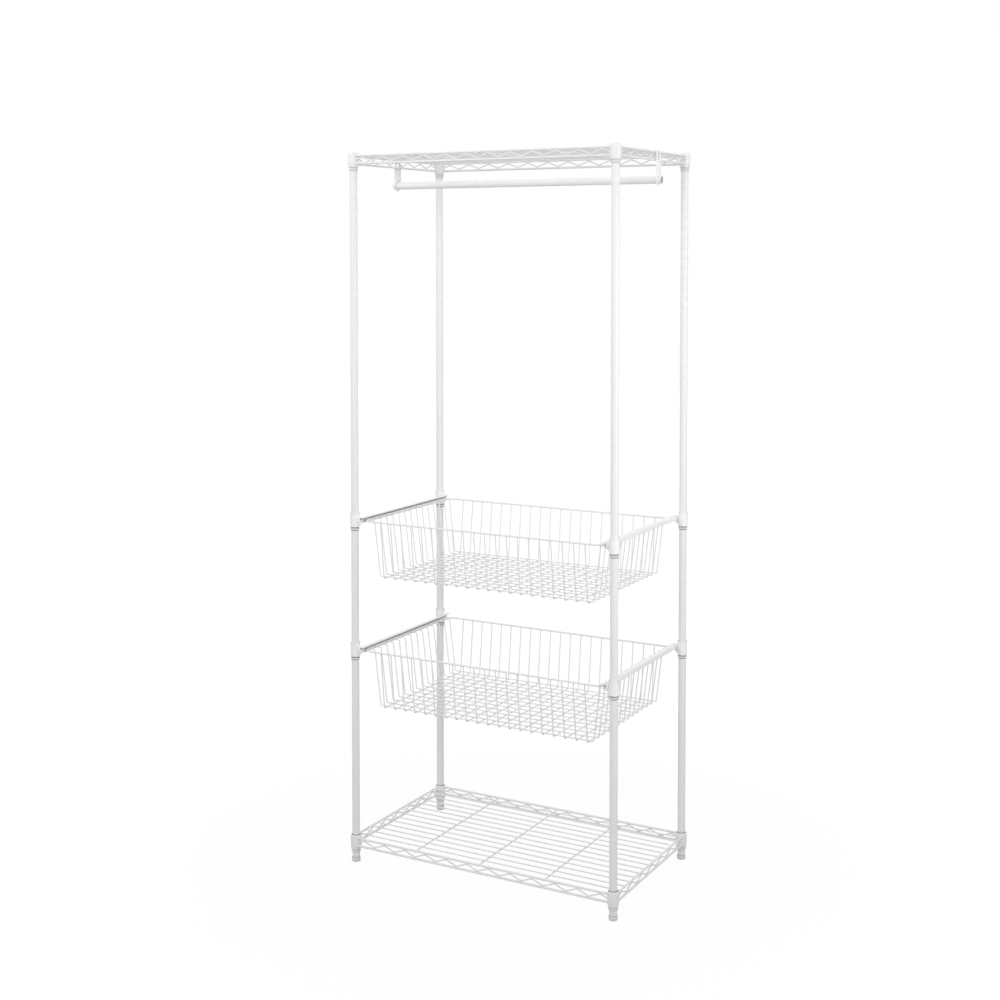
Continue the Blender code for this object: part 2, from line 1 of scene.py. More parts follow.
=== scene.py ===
# %% [markdown]
# # A white wire garment rack, built around its CAD frame
# The rack stands 1.8 m tall on four round posts. It has a wire shelf at the top and the bottom, a
# hanging tube for clothes, and two wire baskets that pull out on side rails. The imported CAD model
# gives every piece its place and size, so this lesson only makes the fine surfaces: round wires
# with real bends, grooved posts, folded rails and powder coat. Each fine piece rides on the CAD
# body that it belongs to and stands for the plain solid that is there.

# %% Load the rack's frame
import json
import math

import bmesh
import bpy
from mathutils import Matrix, Vector


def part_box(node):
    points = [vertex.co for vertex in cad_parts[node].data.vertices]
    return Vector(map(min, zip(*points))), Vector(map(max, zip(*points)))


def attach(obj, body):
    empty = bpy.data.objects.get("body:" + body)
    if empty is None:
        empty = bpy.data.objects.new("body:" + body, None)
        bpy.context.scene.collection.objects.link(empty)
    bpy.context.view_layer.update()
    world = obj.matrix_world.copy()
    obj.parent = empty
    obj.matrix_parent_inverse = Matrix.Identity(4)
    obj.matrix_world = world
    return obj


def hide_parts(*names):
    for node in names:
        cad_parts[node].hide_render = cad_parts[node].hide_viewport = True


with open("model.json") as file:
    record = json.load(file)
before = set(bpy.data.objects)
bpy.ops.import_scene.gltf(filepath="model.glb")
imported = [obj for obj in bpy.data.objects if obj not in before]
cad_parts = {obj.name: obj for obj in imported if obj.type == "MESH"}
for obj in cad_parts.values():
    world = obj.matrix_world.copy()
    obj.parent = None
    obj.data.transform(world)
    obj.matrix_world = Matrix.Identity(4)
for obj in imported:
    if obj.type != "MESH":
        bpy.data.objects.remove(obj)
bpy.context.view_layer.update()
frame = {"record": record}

# %% [markdown]
# ## Nodes from Python
# The finishes and the repeated wires are both node trees, and wiring those by hand takes many
# lines. One small class does it instead. A Signal is an output socket. Python's operators on it
# add Math nodes, and its node method adds any other node, with its settings first, then its inputs.


# %% A class for the signals in a node tree
class Signal:
    """An output socket in a node tree. The operators of Python on it add Math nodes."""

    def __init__(self, tree, socket=None):
        self.tree = tree
        self.socket = socket

    def node(self, kind, settings=None, inputs=None, output=0):
        """Adds a node with its settings, then its inputs as values or signals."""
        made = self.tree.nodes.new(kind)
        for name, value in (settings or {}).items():
            setattr(made, name, value)
        for key, value in (inputs or {}).items():
            if isinstance(value, Signal):
                self.tree.links.new(value.socket, made.inputs[key])
            else:
                made.inputs[key].default_value = value
        return Signal(self.tree, made.outputs[output] if made.outputs else None)

    def math(self, operation, first, second=0.0):
        """A Math node on two values or signals."""
        settings = {"operation": operation}
        return self.node("ShaderNodeMath", settings, {0: first, 1: second})

    def __add__(self, other):
        return self.math("ADD", self, other)

    def __sub__(self, other):
        return self.math("SUBTRACT", self, other)

    def __rsub__(self, other):
        return self.math("SUBTRACT", other, self)

    def __mul__(self, other):
        return self.math("MULTIPLY", self, other)

    def __truediv__(self, other):
        return self.math("DIVIDE", self, other)

    def __rtruediv__(self, other):
        return self.math("DIVIDE", other, self)

    def __mod__(self, other):
        return self.math("FLOORED_MODULO", self, other)

    def __lt__(self, other):
        return self.math("LESS_THAN", self, other)

    def __gt__(self, other):
        return self.math("GREATER_THAN", self, other)

    def __abs__(self):
        return self.math("ABSOLUTE", self)

    def tint(self, first, second):
        """A mix of two colours, with this signal as the second one's share."""
        inputs = {0: self, 6: first, 7: second}
        return self.node("ShaderNodeMix", {"data_type": "RGBA"}, inputs, 2)

    def parts(self):
        """The X, Y and Z of a vector."""
        return [self.node("ShaderNodeSeparateXYZ", None, {0: self}, axis) for axis in "XYZ"]

    def floor(self):
        return self.math("FLOOR", self)

    def at_least(self, other):
        return self.math("MAXIMUM", self, other)

    def at_most(self, other):
        return self.math("MINIMUM", self, other)

    __radd__ = __add__
    __rmul__ = __mul__


print("Python's + - * / % < > and abs now add Math nodes")

# %% [markdown]
# ## The camera
# The photograph was taken from the rack's front right, a little below its top, with a long lens
# held almost level. The four posts gave this position and angle, and a lens shift does the rest.


# %% Place the camera
def placed(name, data):
    """A new object for the data, linked to the scene."""
    thing = bpy.data.objects.new(name, data)
    bpy.context.scene.collection.objects.link(thing)
    return thing


CAMERA_PLACE = (1.8356, -3.4118, 1.5543)
CAMERA_TURN = 29.0
CAMERA_DIP = 2.54
CAMERA_LENS = 55.476
CAMERA_SENSOR = 36.0
CAMERA_SHIFT_Y = -0.1808

lens = bpy.data.cameras.new("photo_camera")
lens.sensor_width = CAMERA_SENSOR
lens.lens = CAMERA_LENS
lens.shift_y = CAMERA_SHIFT_Y
camera = placed("photo_camera", lens)
camera.location = CAMERA_PLACE
camera.rotation_euler = (math.radians(90 - CAMERA_DIP), 0, math.radians(CAMERA_TURN))
bpy.context.scene.camera = camera
print("the camera looks from", CAMERA_PLACE, "through a lens of", CAMERA_LENS, "mm")

# %% [markdown]
# ## Studio light
# White wire on a white ground shows only by its soft grey sides, so the light is gentle and comes
# from everywhere. The world is white to the camera and in reflections, but dimmer as a lamp. Wide
# round lamps add a little from the front, the left, overhead and, nearer, from the right, which
# gives each post a light side. A weak one from behind picks out the top shelf's right edge.

# %% Light the studio
AMBIENT = 0.56
WHITE = (1, 1, 1, 1)
# Each lamp: its place, its target, its width in metres, its power in watts, its spread in degrees.
LAMPS = {
    "front": ((0.6, -3.4, 2.2), (0, 0, 1.7), 2.0, 8, 80),
    "fill": ((-2.4, -2.6, 2.2), (0, 0, 1.4), 2.2, 6, 75),
    "side": ((1.9, -0.4, 1.3), (0, -0.1, 1.0), 1.2, 4.6, 100),
    "overhead": ((0, 0.2, 3.6), (0, 0, 0.9), 2.4, 10, 140),
    "edge": ((2.4, 0.6, 1.9), (0.36, 0, 1.78), 1.0, 0.4, 40),
}

world = bpy.data.worlds.new("studio")
world.use_nodes = True
world.node_tree.nodes.clear()
sky = Signal(world.node_tree)
seen = (
    sky.node("ShaderNodeLightPath", output="Is Camera Ray")
    + sky.node("ShaderNodeLightPath", output="Is Glossy Ray")
    + sky.node("ShaderNodeLightPath", output="Is Transmission Ray")
)
dim = sky.node("ShaderNodeBackground", inputs={"Color": WHITE, "Strength": AMBIENT})
plain = sky.node("ShaderNodeBackground", inputs={"Color": WHITE, "Strength": 1.0})
shown = sky.node("ShaderNodeMixShader", inputs={0: seen.at_most(1.0), 1: dim, 2: plain})
sky.node("ShaderNodeOutputWorld", inputs={"Surface": shown})
bpy.context.scene.world = world
bpy.context.scene.view_settings.view_transform = "Standard"

for name, (stand, target, width, power, spread) in LAMPS.items():
    lamp = bpy.data.lights.new(name, "AREA")
    lamp.shape = "DISK"
    lamp.size = width
    lamp.energy = power
    lamp.spread = math.radians(spread)
    fixture = placed(name, lamp)
    fixture.location = stand
    aim = Vector(target) - Vector(stand)
    fixture.rotation_euler = aim.to_track_quat("-Z", "Y").to_euler()
print("the studio has", len(LAMPS), "soft lamps")

# %% [markdown]
# ## The floor
# Lamps and reflections meet a wide disc of pale grey paper. The camera looks almost through it, to
# the white background, with just enough of the paper left to keep the rack's faint shadow, so a
# foot that is screwed out below the floor stays in sight. Away from the rack the disc fades out
# altogether, so that no horizon line shows. It lies a hair below the feet, which keeps the two
# surfaces apart.


# %% Lay the floor
def new_material(name):
    """A new material and, as a signal in its tree, the place on the object in metres."""
    material = bpy.data.materials.new(name)
    material.use_nodes = True
    material.node_tree.nodes.clear()
    return material, Signal(material.node_tree).node("ShaderNodeTexCoord", output="Object")


def noise(place, scale, detail=2.0):
    """The value of a noise texture at a place."""
    inputs = {"Vector": place, "Scale": scale, "Detail": detail}
    return place.node("ShaderNodeTexNoise", None, inputs, "Fac")


def plain_mesh(name, work):
    """The mesh that a bmesh has become. The bmesh is freed."""
    mesh = bpy.data.meshes.new(name)
    work.to_mesh(mesh)
    work.free()
    return mesh


FLOOR_REACH = 14.0
FLOOR_SIDES = 96
FLOOR_GAP = 0.0002
FADE_START = 0.7
FADE_LENGTH = 1.6
CLEAR_SHARE = 0.88
CLEAR_LIFT = 1.055
PAPER = (0.62, 0.62, 0.62, 1)
PAPER_SCALE = 3.0
PAPER_SWING = 0.1
PAPER_ROUGHNESS = 0.65
PAPER_SHINE = 0.2

floor_finish, spot = new_material("studio_floor")
distance = spot.node("ShaderNodeVectorMath", {"operation": "LENGTH"}, {0: spot}, "Value")
fade = ((distance - FADE_START) / FADE_LENGTH).at_least(0.0).at_most(1.0)
share = CLEAR_SHARE + fade * (1 - CLEAR_SHARE)
lens_only = spot.node("ShaderNodeLightPath", output="Is Camera Ray")
matt = noise(spot, PAPER_SCALE) * PAPER_SWING + PAPER_ROUGHNESS
paper = {"Base Color": PAPER, "Roughness": matt, "Specular IOR Level": PAPER_SHINE}
paper = spot.node("ShaderNodeBsdfPrincipled", None, paper)
clear = {"Color": (CLEAR_LIFT, CLEAR_LIFT, CLEAR_LIFT, 1)}
clear = spot.node("ShaderNodeBsdfTransparent", None, clear)
blend = spot.node("ShaderNodeMixShader", None, {0: share * lens_only, 1: paper, 2: clear})
spot.node("ShaderNodeOutputMaterial", None, {"Surface": blend})

disc = bmesh.new()
bmesh.ops.create_circle(disc, cap_ends=True, radius=FLOOR_REACH, segments=FLOOR_SIDES)
floor_mesh = plain_mesh("floor", disc)
floor_mesh.materials.append(floor_finish)
floor = placed("studio_floor", floor_mesh)
floor.location.z = -FLOOR_GAP
print("the floor is a disc of", FLOOR_REACH, "m radius")

# %% [markdown]
# ## Powder coat
# Every metal part is white powder coat: satin, a little uneven in tone and sheen, with the fine
# orange peel that baked powder has. Two noises make it. A broad one moves the colour and the
# roughness, and a fine one drives the bump. They read Object coordinates in metres, so the grain
# has the same size on a thin wire as on a post. Where shade is painted in, a mask mixes its dark
# grey over both.


# %% Powder coat from one recipe
def warm_white(lightness):
    """A near white of that lightness, a touch warm."""
    return (lightness, lightness, lightness - 0.01, 1)


# The dark grey that every mask below mixes in as painted shade.
SHADE_GREY = warm_white(0.2)
PEEL_SCALE = 700.0
PEEL_HEIGHT = 0.00004
PEEL_STRENGTH = 0.5
TONE_SCALE = 7.0
TONE_DETAIL = 4.0
TONE_SHARE = 0.6
COAT_SWING = 0.12
COAT_SHINE = 0.45


def toned(share, light, dark, place, painted_shade):
    """A mix of two whites, and over it the painted shade at the place, if there is any."""
    tint = share.tint(warm_white(light), warm_white(dark))
    return tint if painted_shade is None else painted_shade(place).tint(tint, SHADE_GREY)


def finished(tint, roughness, grain, strength, height, shine):
    """Ends a material's tree: one shader with its colour, roughness and shine, and a bump."""
    bump = {"Height": grain, "Strength": strength, "Distance": height}
    sockets = {
        "Base Color": tint,
        "Roughness": roughness,
        "Normal": tint.node("ShaderNodeBump", None, bump),
        "Specular IOR Level": shine,
    }
    surface = tint.node("ShaderNodeBsdfPrincipled", None, sockets)
    tint.node("ShaderNodeOutputMaterial", None, {"Surface": surface})


def powder_coat(name, light, dark, roughness, painted_shade=None):
    """A satin powder coat. If given, the last argument is a function for painted shade's share at a
    place.
    """
    material, place = new_material(name)
    tone = noise(place, TONE_SCALE, TONE_DETAIL)
    tint = toned(tone * TONE_SHARE, light, dark, place, painted_shade)
    roughness = tone * COAT_SWING + (roughness - COAT_SWING / 2)
    peel = noise(place, PEEL_SCALE)
    finished(tint, roughness, peel, PEEL_STRENGTH, PEEL_HEIGHT, COAT_SHINE)
    return material


SHELF_COAT = powder_coat("shelf_powder_coat", 0.86, 0.82, 0.36)
BASKET_COAT = powder_coat("basket_powder_coat", 0.86, 0.81, 0.36)
TUBE_COAT = powder_coat("tube_powder_coat", 0.90, 0.87, 0.28)
print("three plain powder coats are mixed")

# %% [markdown]
# ## Post coat, with painted shade in its grooves
# A real post has a thin groove all round every 25 mm, where a shelf's sleeve can lock. A mask made
# from the height picks out each groove and paints shade into it, a little darker. The mask repeats
# with a modulo, which is why the groove pitch is defined here, before the posts.

# %% Mix the post coat
POST_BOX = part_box("post_front_right")
POST_X = (POST_BOX[0].x + POST_BOX[1].x) / 2
POST_Y = (POST_BOX[0].y + POST_BOX[1].y) / -2
POST_BOTTOM = POST_BOX[0].z
POST_TOP = POST_BOX[1].z
GROOVE_PITCH = 0.025
GROOVE_WIDTH = 0.0014
GROOVE_DEPTH = 0.00025
# How dark the shade painted into each groove is.
GROOVE_SHADE = 0.08
FIRST_GROOVE = 0.0125


def groove_shade(place):
    """A little painted shade inside each groove and none between them, from the height on the post.
    """
    below_top = POST_TOP - place.parts()[2]
    phase = (below_top + (GROOVE_PITCH / 2 - FIRST_GROOVE)) % GROOVE_PITCH
    return (abs(phase - GROOVE_PITCH / 2) < GROOVE_WIDTH / 2) * GROOVE_SHADE


POST_COAT = powder_coat("post_powder_coat", 0.86, 0.80, 0.34, groove_shade)
print("the posts stand at x", round(POST_X, 4), "and y", round(POST_Y, 4), "from the middle")

# %% [markdown]
# ## Plastics
# The sleeves, caps, inserts and feet are moulded plastic, greyer and duller than the coated metal.
# A stretched noise gives the faint flow lines of moulding, and a fine one gives the matt skin.
# Painted shade darkens the thin joints that show as dark lines: the necks of the sleeves and the
# top of each foot.


# %% Moulded plastic from one recipe
FLOW_SCALE = 120.0
FLOW_DETAIL = 3.0
FLOW_STRETCH = (1, 1, 0.2)
FLOW_SHARE = 0.8
SKIN_SCALE = 1500.0
SKIN_HEIGHT = 0.00002
SKIN_STRENGTH = 0.4
PLASTIC_SWING = 0.14
PLASTIC_SHINE = 0.4


def moulded_plastic(name, light, dark, roughness, painted_shade=None):
    """A matt moulded plastic. If given, the last argument is a function for painted shade's share
    at a place.
    """
    material, place = new_material(name)
    drawn = place.node("ShaderNodeMapping", None, {"Vector": place, "Scale": FLOW_STRETCH})
    flow = noise(drawn, FLOW_SCALE, FLOW_DETAIL)
    tint = toned(flow * FLOW_SHARE, light, dark, place, painted_shade)
    roughness = flow * PLASTIC_SWING + (roughness - PLASTIC_SWING / 2)
    skin = noise(place, SKIN_SCALE)
    finished(tint, roughness, skin, SKIN_STRENGTH, SKIN_HEIGHT, PLASTIC_SHINE)
    return material


CAP_PLASTIC = moulded_plastic("cap_moulding", 0.83, 0.78, 0.5)
print("one plain plastic is mixed")

# %% Plastics with painted shade in their joints
# Where shade is painted into the sleeve necks and the foot joints, and how dark it is.
NECK_RADIUS = 0.0106
NECK_SHADE = 0.9
TOP_NECK_SHADE = 0.15
SHADED_FROM = 0.066
TOP_FROM = 1.2
FOOT_HEIGHT = 0.012
FOOT_NECK_RADIUS = 0.009
FOOT_NECK_FOOT = 0.0108
FOOT_SHADE = 0.5
FOOT_SHADE_RADIUS = 0.0093
HAIR = 0.0002


def near_post(place, radius):
    """1 where a place is nearer than the radius to a post's axis."""
    across, along, _ = place.parts()
    across = abs(across) - POST_X
    along = abs(along) - POST_Y
    return across * across + along * along < radius**2


def neck_shade(place):
    """Painted shade where a sleeve is narrower than its lip, but hardly any at the top shelf."""
    height = place.parts()[2]
    strength = NECK_SHADE - (height > TOP_FROM) * (NECK_SHADE - TOP_NECK_SHADE)
    return near_post(place, NECK_RADIUS) * (height > SHADED_FROM) * strength


def foot_joint_shade(place):
    """Painted shade in the joint between a foot and its post, but not on the stem."""
    height = place.parts()[2]
    joint = (height > FOOT_NECK_FOOT - HAIR) * (height < FOOT_HEIGHT + HAIR)
    return near_post(place, FOOT_SHADE_RADIUS) * joint * FOOT_SHADE


SLEEVE_PLASTIC = moulded_plastic("sleeve_moulding", 0.78, 0.72, 0.5, neck_shade)
FOOT_PLASTIC = moulded_plastic("foot_moulding", 0.75, 0.69, 0.55, foot_joint_shade)
print("two dusty plastics are mixed")

# %% [markdown]
# ## Placing a finished piece
# Each fine piece stands for one solid of the CAD model. It rides on the same body, takes its
# material and keeps its place in its mesh, so one short function hands every piece over. Long round
# sides are shaded smooth, and edges sharper than about 40 degrees stay crisp.

# %% Hand a piece over to the frame
SMOOTH_ANGLE = 40
BODIES = {
    node: body
    for body, nodes in frame["record"]["behaviour"]["bodies"].items()
    for node in nodes
}
CORNERS = {
    "front_left": (-1, -1),
    "front_right": (1, -1),
    "rear_left": (-1, 1),
    "rear_right": (1, 1),
}
made = []


def at_posts(height):
    """For each corner, the move from the origin to its post's axis at that height."""
    return {
        corner: Matrix.Translation((x * POST_X, y * POST_Y, height))
        for corner, (x, y) in CORNERS.items()
    }


def moved(mesh, matrix):
    """A copy of the mesh, moved or mirrored, with its faces still pointing out."""
    copy = mesh.copy()
    copy.transform(matrix)
    if matrix.determinant() < 0:
        copy.flip_normals()
    return copy


def joined(name, meshes):
    """One mesh of several."""
    work = bmesh.new()
    for mesh in meshes:
        work.from_mesh(mesh)
    return plain_mesh(name, work)


def stand_for(node, word, mesh, material):
    """Makes the mesh a piece that stands for a CAD node, with its body and material."""
    piece = placed(f"{node}_{word}", mesh)
    mesh.materials.clear()
    mesh.materials.append(material)
    for face in mesh.polygons:
        face.material_index = 0
    mesh.shade_smooth()
    mesh.set_sharp_from_angle(angle=math.radians(SMOOTH_ANGLE))
    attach(piece, BODIES[node])
    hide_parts(node)
    made.append(piece)


# %% [markdown]
# ## Trees that grow geometry
# Whatever repeats here follows a rule: grooves every 25 mm, wires side by side, a wave between two
# rims. Geometry Nodes express such a rule once, with named inputs for its sizes. The functions
# below start a tree, close it with Realize Instances and Set Material, and run it. Only the plain
# mesh that comes out is kept.


# %% Start, close and run a tree
def new_tree(name, numbers=(), wholes=(), vectors=()):
    """A tree with these inputs, a geometry and a material, and a signal to build it from."""
    tree = bpy.data.node_groups.new(name, "GeometryNodeTree")
    tree.interface.new_socket("Geometry", in_out="OUTPUT", socket_type="NodeSocketGeometry")
    inputs = {"Geometry": "Geometry", "Material": "Material"}
    inputs.update(dict.fromkeys(numbers, "Float"))
    inputs.update(dict.fromkeys(wholes, "Int"))
    inputs.update(dict.fromkeys(vectors, "Vector"))
    for label, kind in inputs.items():
        tree.interface.new_socket(label, in_out="INPUT", socket_type=f"NodeSocket{kind}")
    start = Signal(tree)
    return start, {label: start.node("NodeGroupInput", output=label) for label in inputs}


def close_tree(start, given, geometry):
    """Ends the tree: real geometry, with its material."""
    real = start.node("GeometryNodeRealizeInstances", None, {"Geometry": geometry})
    dressed = {"Geometry": real, "Material": given["Material"]}
    start.node("NodeGroupOutput", None, {0: start.node("GeometryNodeSetMaterial", None, dressed)})
    return start.tree


def grow(tree, values, base=None):
    """The plain mesh that the tree makes with these inputs, from a base mesh if it needs one."""
    host = placed(tree.name, base or bpy.data.meshes.new("seed"))
    modifier = host.modifiers.new("grow", "NODES")
    modifier.node_group = tree
    for socket in tree.interface.items_tree:
        if socket.in_out == "INPUT" and socket.name in values:
            modifier[socket.identifier] = values[socket.name]
    graph = bpy.context.evaluated_depsgraph_get()
    mesh = bpy.data.meshes.new_from_object(host.evaluated_get(graph))
    host.modifiers.remove(modifier)
    bpy.data.objects.remove(host)
    return mesh


def lines(paths, closed=False):
    """A mesh of bare edges along the given paths, for a tree to follow."""
    points = []
    edges = []
    for path in paths:
        first = len(points)
        points += path
        edges += [(first + i, first + i + 1) for i in range(len(path) - 1)]
        if closed:
            edges.append((len(points) - 1, first))
    mesh = bpy.data.meshes.new("paths")
    mesh.from_pydata(points, edges, [])
    return mesh


print("trees can now be started, closed and run")

# %% [markdown]
# ## Grooved posts
# A post is a thin steel tube with rolled grooves. The tree draws half of its section: the outer
# side from the top down, with six points for each groove, and the bore's two corners. The outer two
# of the six only keep the shading of the plain stretches flat. Index maths gives each point its
# height and radius, and a height past the tube's end is held at the end. The section is then swept
# round a circle of the bore's radius, so the wall is closed all round.

# %% A tree for a grooved tube
POINTS_PER_GROOVE = 6
MIDDLE_STEP = 2.5
STEPS_ACROSS = 3.0
lengths = ["Top", "Bottom", "Radius", "Bore radius"]
lengths += ["First groove", "Pitch", "Groove width", "Groove depth"]
grooved, given = new_tree("grooved_tube", lengths, ["Grooves", "Sides"])
index = grooved.node("GeometryNodeInputIndex")
outer_count = given["Grooves"] * POINTS_PER_GROOVE + 2
groove = ((index - 1) / POINTS_PER_GROOVE).floor()
step = (index - 1) % POINTS_PER_GROOVE
across = (step - MIDDLE_STEP) / STEPS_ACROSS * given["Groove width"]
drop = given["First groove"] + groove * given["Pitch"] + across
height = (given["Top"] - drop).at_least(given["Bottom"]).at_most(given["Top"])
is_bore = index > outer_count - 0.5
is_last = index > outer_count + 0.5
height = height + is_last * (given["Top"] - height)
dent = (abs(step - MIDDLE_STEP) < 1.0) * (1 - is_bore) * given["Groove depth"]
wall = given["Radius"] - given["Bore radius"]
outward = (1 - is_bore) * wall - dent
OFFSET_LINE = {"mode": "OFFSET", "count_mode": "TOTAL"}
section = grooved.node("GeometryNodeMeshLine", OFFSET_LINE, {"Count": outer_count + 2})
point = grooved.node("ShaderNodeCombineXYZ", None, {"X": outward, "Y": 0 - height})
section = grooved.node("GeometryNodeSetPosition", None, {"Geometry": section, "Position": point})
section = grooved.node("GeometryNodeMeshToCurve", None, {"Mesh": section})
section = grooved.node("GeometryNodeSetSplineCyclic", None, {"Geometry": section, "Cyclic": True})
circle = {"Resolution": given["Sides"], "Radius": given["Bore radius"]}
circle = grooved.node("GeometryNodeCurvePrimitiveCircle", None, circle)
swept = grooved.node("GeometryNodeCurveToMesh", None, {"Curve": circle, "Profile Curve": section})
GROOVED_TUBE = close_tree(grooved, given, swept)
print("the grooved tube tree has", len(GROOVED_TUBE.nodes), "nodes")

# %% Grow the four posts
POST_RADIUS = (POST_BOX[1].x - POST_BOX[0].x) / 2
POST_WALL = 0.0012
POST_SIDES = 32
grooves = int((POST_TOP - POST_BOTTOM - FIRST_GROOVE) / GROOVE_PITCH) + 1
post_mesh = grow(
    GROOVED_TUBE,
    {
        "Top": POST_TOP,
        "Bottom": POST_BOTTOM,
        "Radius": POST_RADIUS,
        "Bore radius": POST_RADIUS - POST_WALL,
        "Grooves": grooves,
        "First groove": FIRST_GROOVE,
        "Pitch": GROOVE_PITCH,
        "Groove width": GROOVE_WIDTH,
        "Groove depth": GROOVE_DEPTH,
        "Sides": POST_SIDES,
        "Material": POST_COAT,
    },
)
for corner, place in at_posts(0).items():
    stand_for(f"post_{corner}", "grooved", moved(post_mesh, place), POST_COAT)
print("each post has", grooves, "grooves and", len(post_mesh.polygons), "faces")

# %% [markdown]
# ## Turned parts
# Caps, feet, inserts, sleeves and collars are all round about a post's axis. Each is a profile of
# (radius, height) points spun about Z. Doubled points at the seam and on the axis are merged, open
# ends are filled, and the normals are recalculated, because a spin can turn a shape inside out.

# %% Spin a profile
TURNED_SIDES = 40
FEWEST_SIDES = 8
MERGE = 0.000001


def turned(profile, closed=False, start=0.0, sweep=360.0):
    """A mesh turned about Z from (radius, height) points, all round or through part of a turn."""
    work = bmesh.new()
    points = [work.verts.new((radius, 0, height)) for radius, height in profile]
    edges = [work.edges.new(pair) for pair in zip(points, points[1:])]
    if closed:
        edges.append(work.edges.new((points[-1], points[0])))
    first = Matrix.Rotation(math.radians(start), 3, "Z")
    bmesh.ops.rotate(work, verts=points, cent=(0, 0, 0), matrix=first)
    bmesh.ops.spin(
        work,
        geom=points + edges,
        cent=(0, 0, 0),
        axis=(0, 0, 1),
        angle=math.radians(sweep),
        steps=max(FEWEST_SIDES, round(TURNED_SIDES * sweep / 360)),
    )
    bmesh.ops.remove_doubles(work, verts=work.verts, dist=MERGE)
    open_edges = [edge for edge in work.edges if edge.is_boundary]
    if open_edges:
        bmesh.ops.holes_fill(work, edges=open_edges)
    bmesh.ops.recalc_face_normals(work, faces=work.faces)
    return plain_mesh("turned", work)


print("a full turn has", TURNED_SIDES, "sides")

# %% [markdown]
# ## Post caps
# Each post ends in a low plastic cap with a rounded rim. Its plug fits inside the tube. The top is
# slightly domed so that light slides over it, which a flat disc wouldn't show.

# %% Turn the caps
FIT_GAP = 0.0003
RACK_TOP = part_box("post_cap_front_right")[1].z
PLUG_RADIUS = POST_RADIUS - POST_WALL - FIT_GAP
CAP_PROFILE = [
    (0, 0),
    (0.0045, -0.0001),
    (0.0072, -0.0003),
    (0.0085, -0.0006),
    (0.0092, -0.0011),
    (0.0095, -0.0018),
    (0.0095, -0.0026),
    (PLUG_RADIUS, -0.0026),
    (PLUG_RADIUS, -0.0138),
    (PLUG_RADIUS - 0.0006, -0.0146),
    (0, -0.0146),
]
cap_mesh = turned(CAP_PROFILE)
for corner, place in at_posts(RACK_TOP).items():
    stand_for(f"post_cap_{corner}", "domed", moved(cap_mesh, place), CAP_PLASTIC)
print("a cap's top is at", round(RACK_TOP, 4), "m")

# %% [markdown]
# ## Levelling feet
# A foot is a plastic disc with a rounded lower edge and a low neck, on a screw that turns in the
# post's bottom. The screw's thread is a helix, so a second tree sweeps a small round section along
# a spiral curve. It stays inside the stem's radius, since the insert's hole is only just wider.

# %% A tree for a screw thread
STEPS_PER_TURN = 16
RIDGE_SIDES = 6
threaded, given = new_tree("screw_thread", ["Turns", "Length", "Path radius", "Ridge radius"])
path = {
    "Resolution": STEPS_PER_TURN,
    "Rotations": given["Turns"],
    "Start Radius": given["Path radius"],
    "End Radius": given["Path radius"],
    "Height": given["Length"],
}
path = threaded.node("GeometryNodeCurveSpiral", None, path)
ridge = {"Resolution": RIDGE_SIDES, "Radius": given["Ridge radius"]}
ridge = threaded.node("GeometryNodeCurvePrimitiveCircle", None, ridge)
swept = {"Curve": path, "Profile Curve": ridge, "Fill Caps": True}
swept = threaded.node("GeometryNodeCurveToMesh", None, swept)
SCREW_THREAD = close_tree(threaded, given, swept)
print("the thread tree has", len(SCREW_THREAD.nodes), "nodes")

# %% Turn the feet and their inserts
FOOT_RADIUS = 0.0108
STEM_RADIUS = 0.004
STEM_LENGTH = 0.034
STEM_TOP = FOOT_HEIGHT + STEM_LENGTH
THREAD_MARGIN = 0.002
THREAD_PITCH = 0.00125
RIDGE_RADIUS = 0.0006
INSERT_LENGTH = 0.015
FOOT_PROFILE = [
    (0, STEM_TOP),
    (0.0028, STEM_TOP),
    (0.0034, STEM_TOP - 0.0006),
    (0.0034, FOOT_HEIGHT),
    (FOOT_NECK_RADIUS, FOOT_HEIGHT),
    (FOOT_NECK_RADIUS, FOOT_NECK_FOOT),
    (0.0101, FOOT_NECK_FOOT),
    (0.0106, FOOT_NECK_FOOT - 0.0003),
    (FOOT_RADIUS, FOOT_NECK_FOOT - 0.0008),
    (FOOT_RADIUS, 0.0026),
    (0.0105, 0.0014),
    (0.0098, 0.0006),
    (0.0086, 0),
    (0.0064, 0),
    (0.0058, 0.0006),
    (0, 0.0006),
]
INSERT_PROFILE = [
    (PLUG_RADIUS, 0.0142),
    (PLUG_RADIUS, 0.0004),
    (PLUG_RADIUS - 0.0004, 0),
    (0.0049, 0),
    (STEM_RADIUS + FIT_GAP, 0.0006),
    (STEM_RADIUS + FIT_GAP, INSERT_LENGTH),
    (PLUG_RADIUS - 0.0008, INSERT_LENGTH),
]
thread_length = STEM_LENGTH - 2 * THREAD_MARGIN
thread = grow(
    SCREW_THREAD,
    {
        "Turns": thread_length / THREAD_PITCH,
        "Length": thread_length,
        "Path radius": STEM_RADIUS - RIDGE_RADIUS,
        "Ridge radius": RIDGE_RADIUS,
        "Material": FOOT_PLASTIC,
    },
)
thread = moved(thread, Matrix.Translation((0, 0, FOOT_HEIGHT + THREAD_MARGIN)))
foot_mesh = joined("foot", [turned(FOOT_PROFILE), thread])
insert_mesh = turned(INSERT_PROFILE, closed=True)
post_bottoms = at_posts(POST_BOTTOM)
for corner, place in at_posts(0).items():
    stand_for(f"levelling_foot_{corner}", "threaded", moved(foot_mesh, place), FOOT_PLASTIC)
    insert = moved(insert_mesh, post_bottoms[corner])
    stand_for(f"foot_insert_{corner}", "chamfered", insert, CAP_PLASTIC)
print("a foot's thread has", round(thread_length / THREAD_PITCH), "turns")
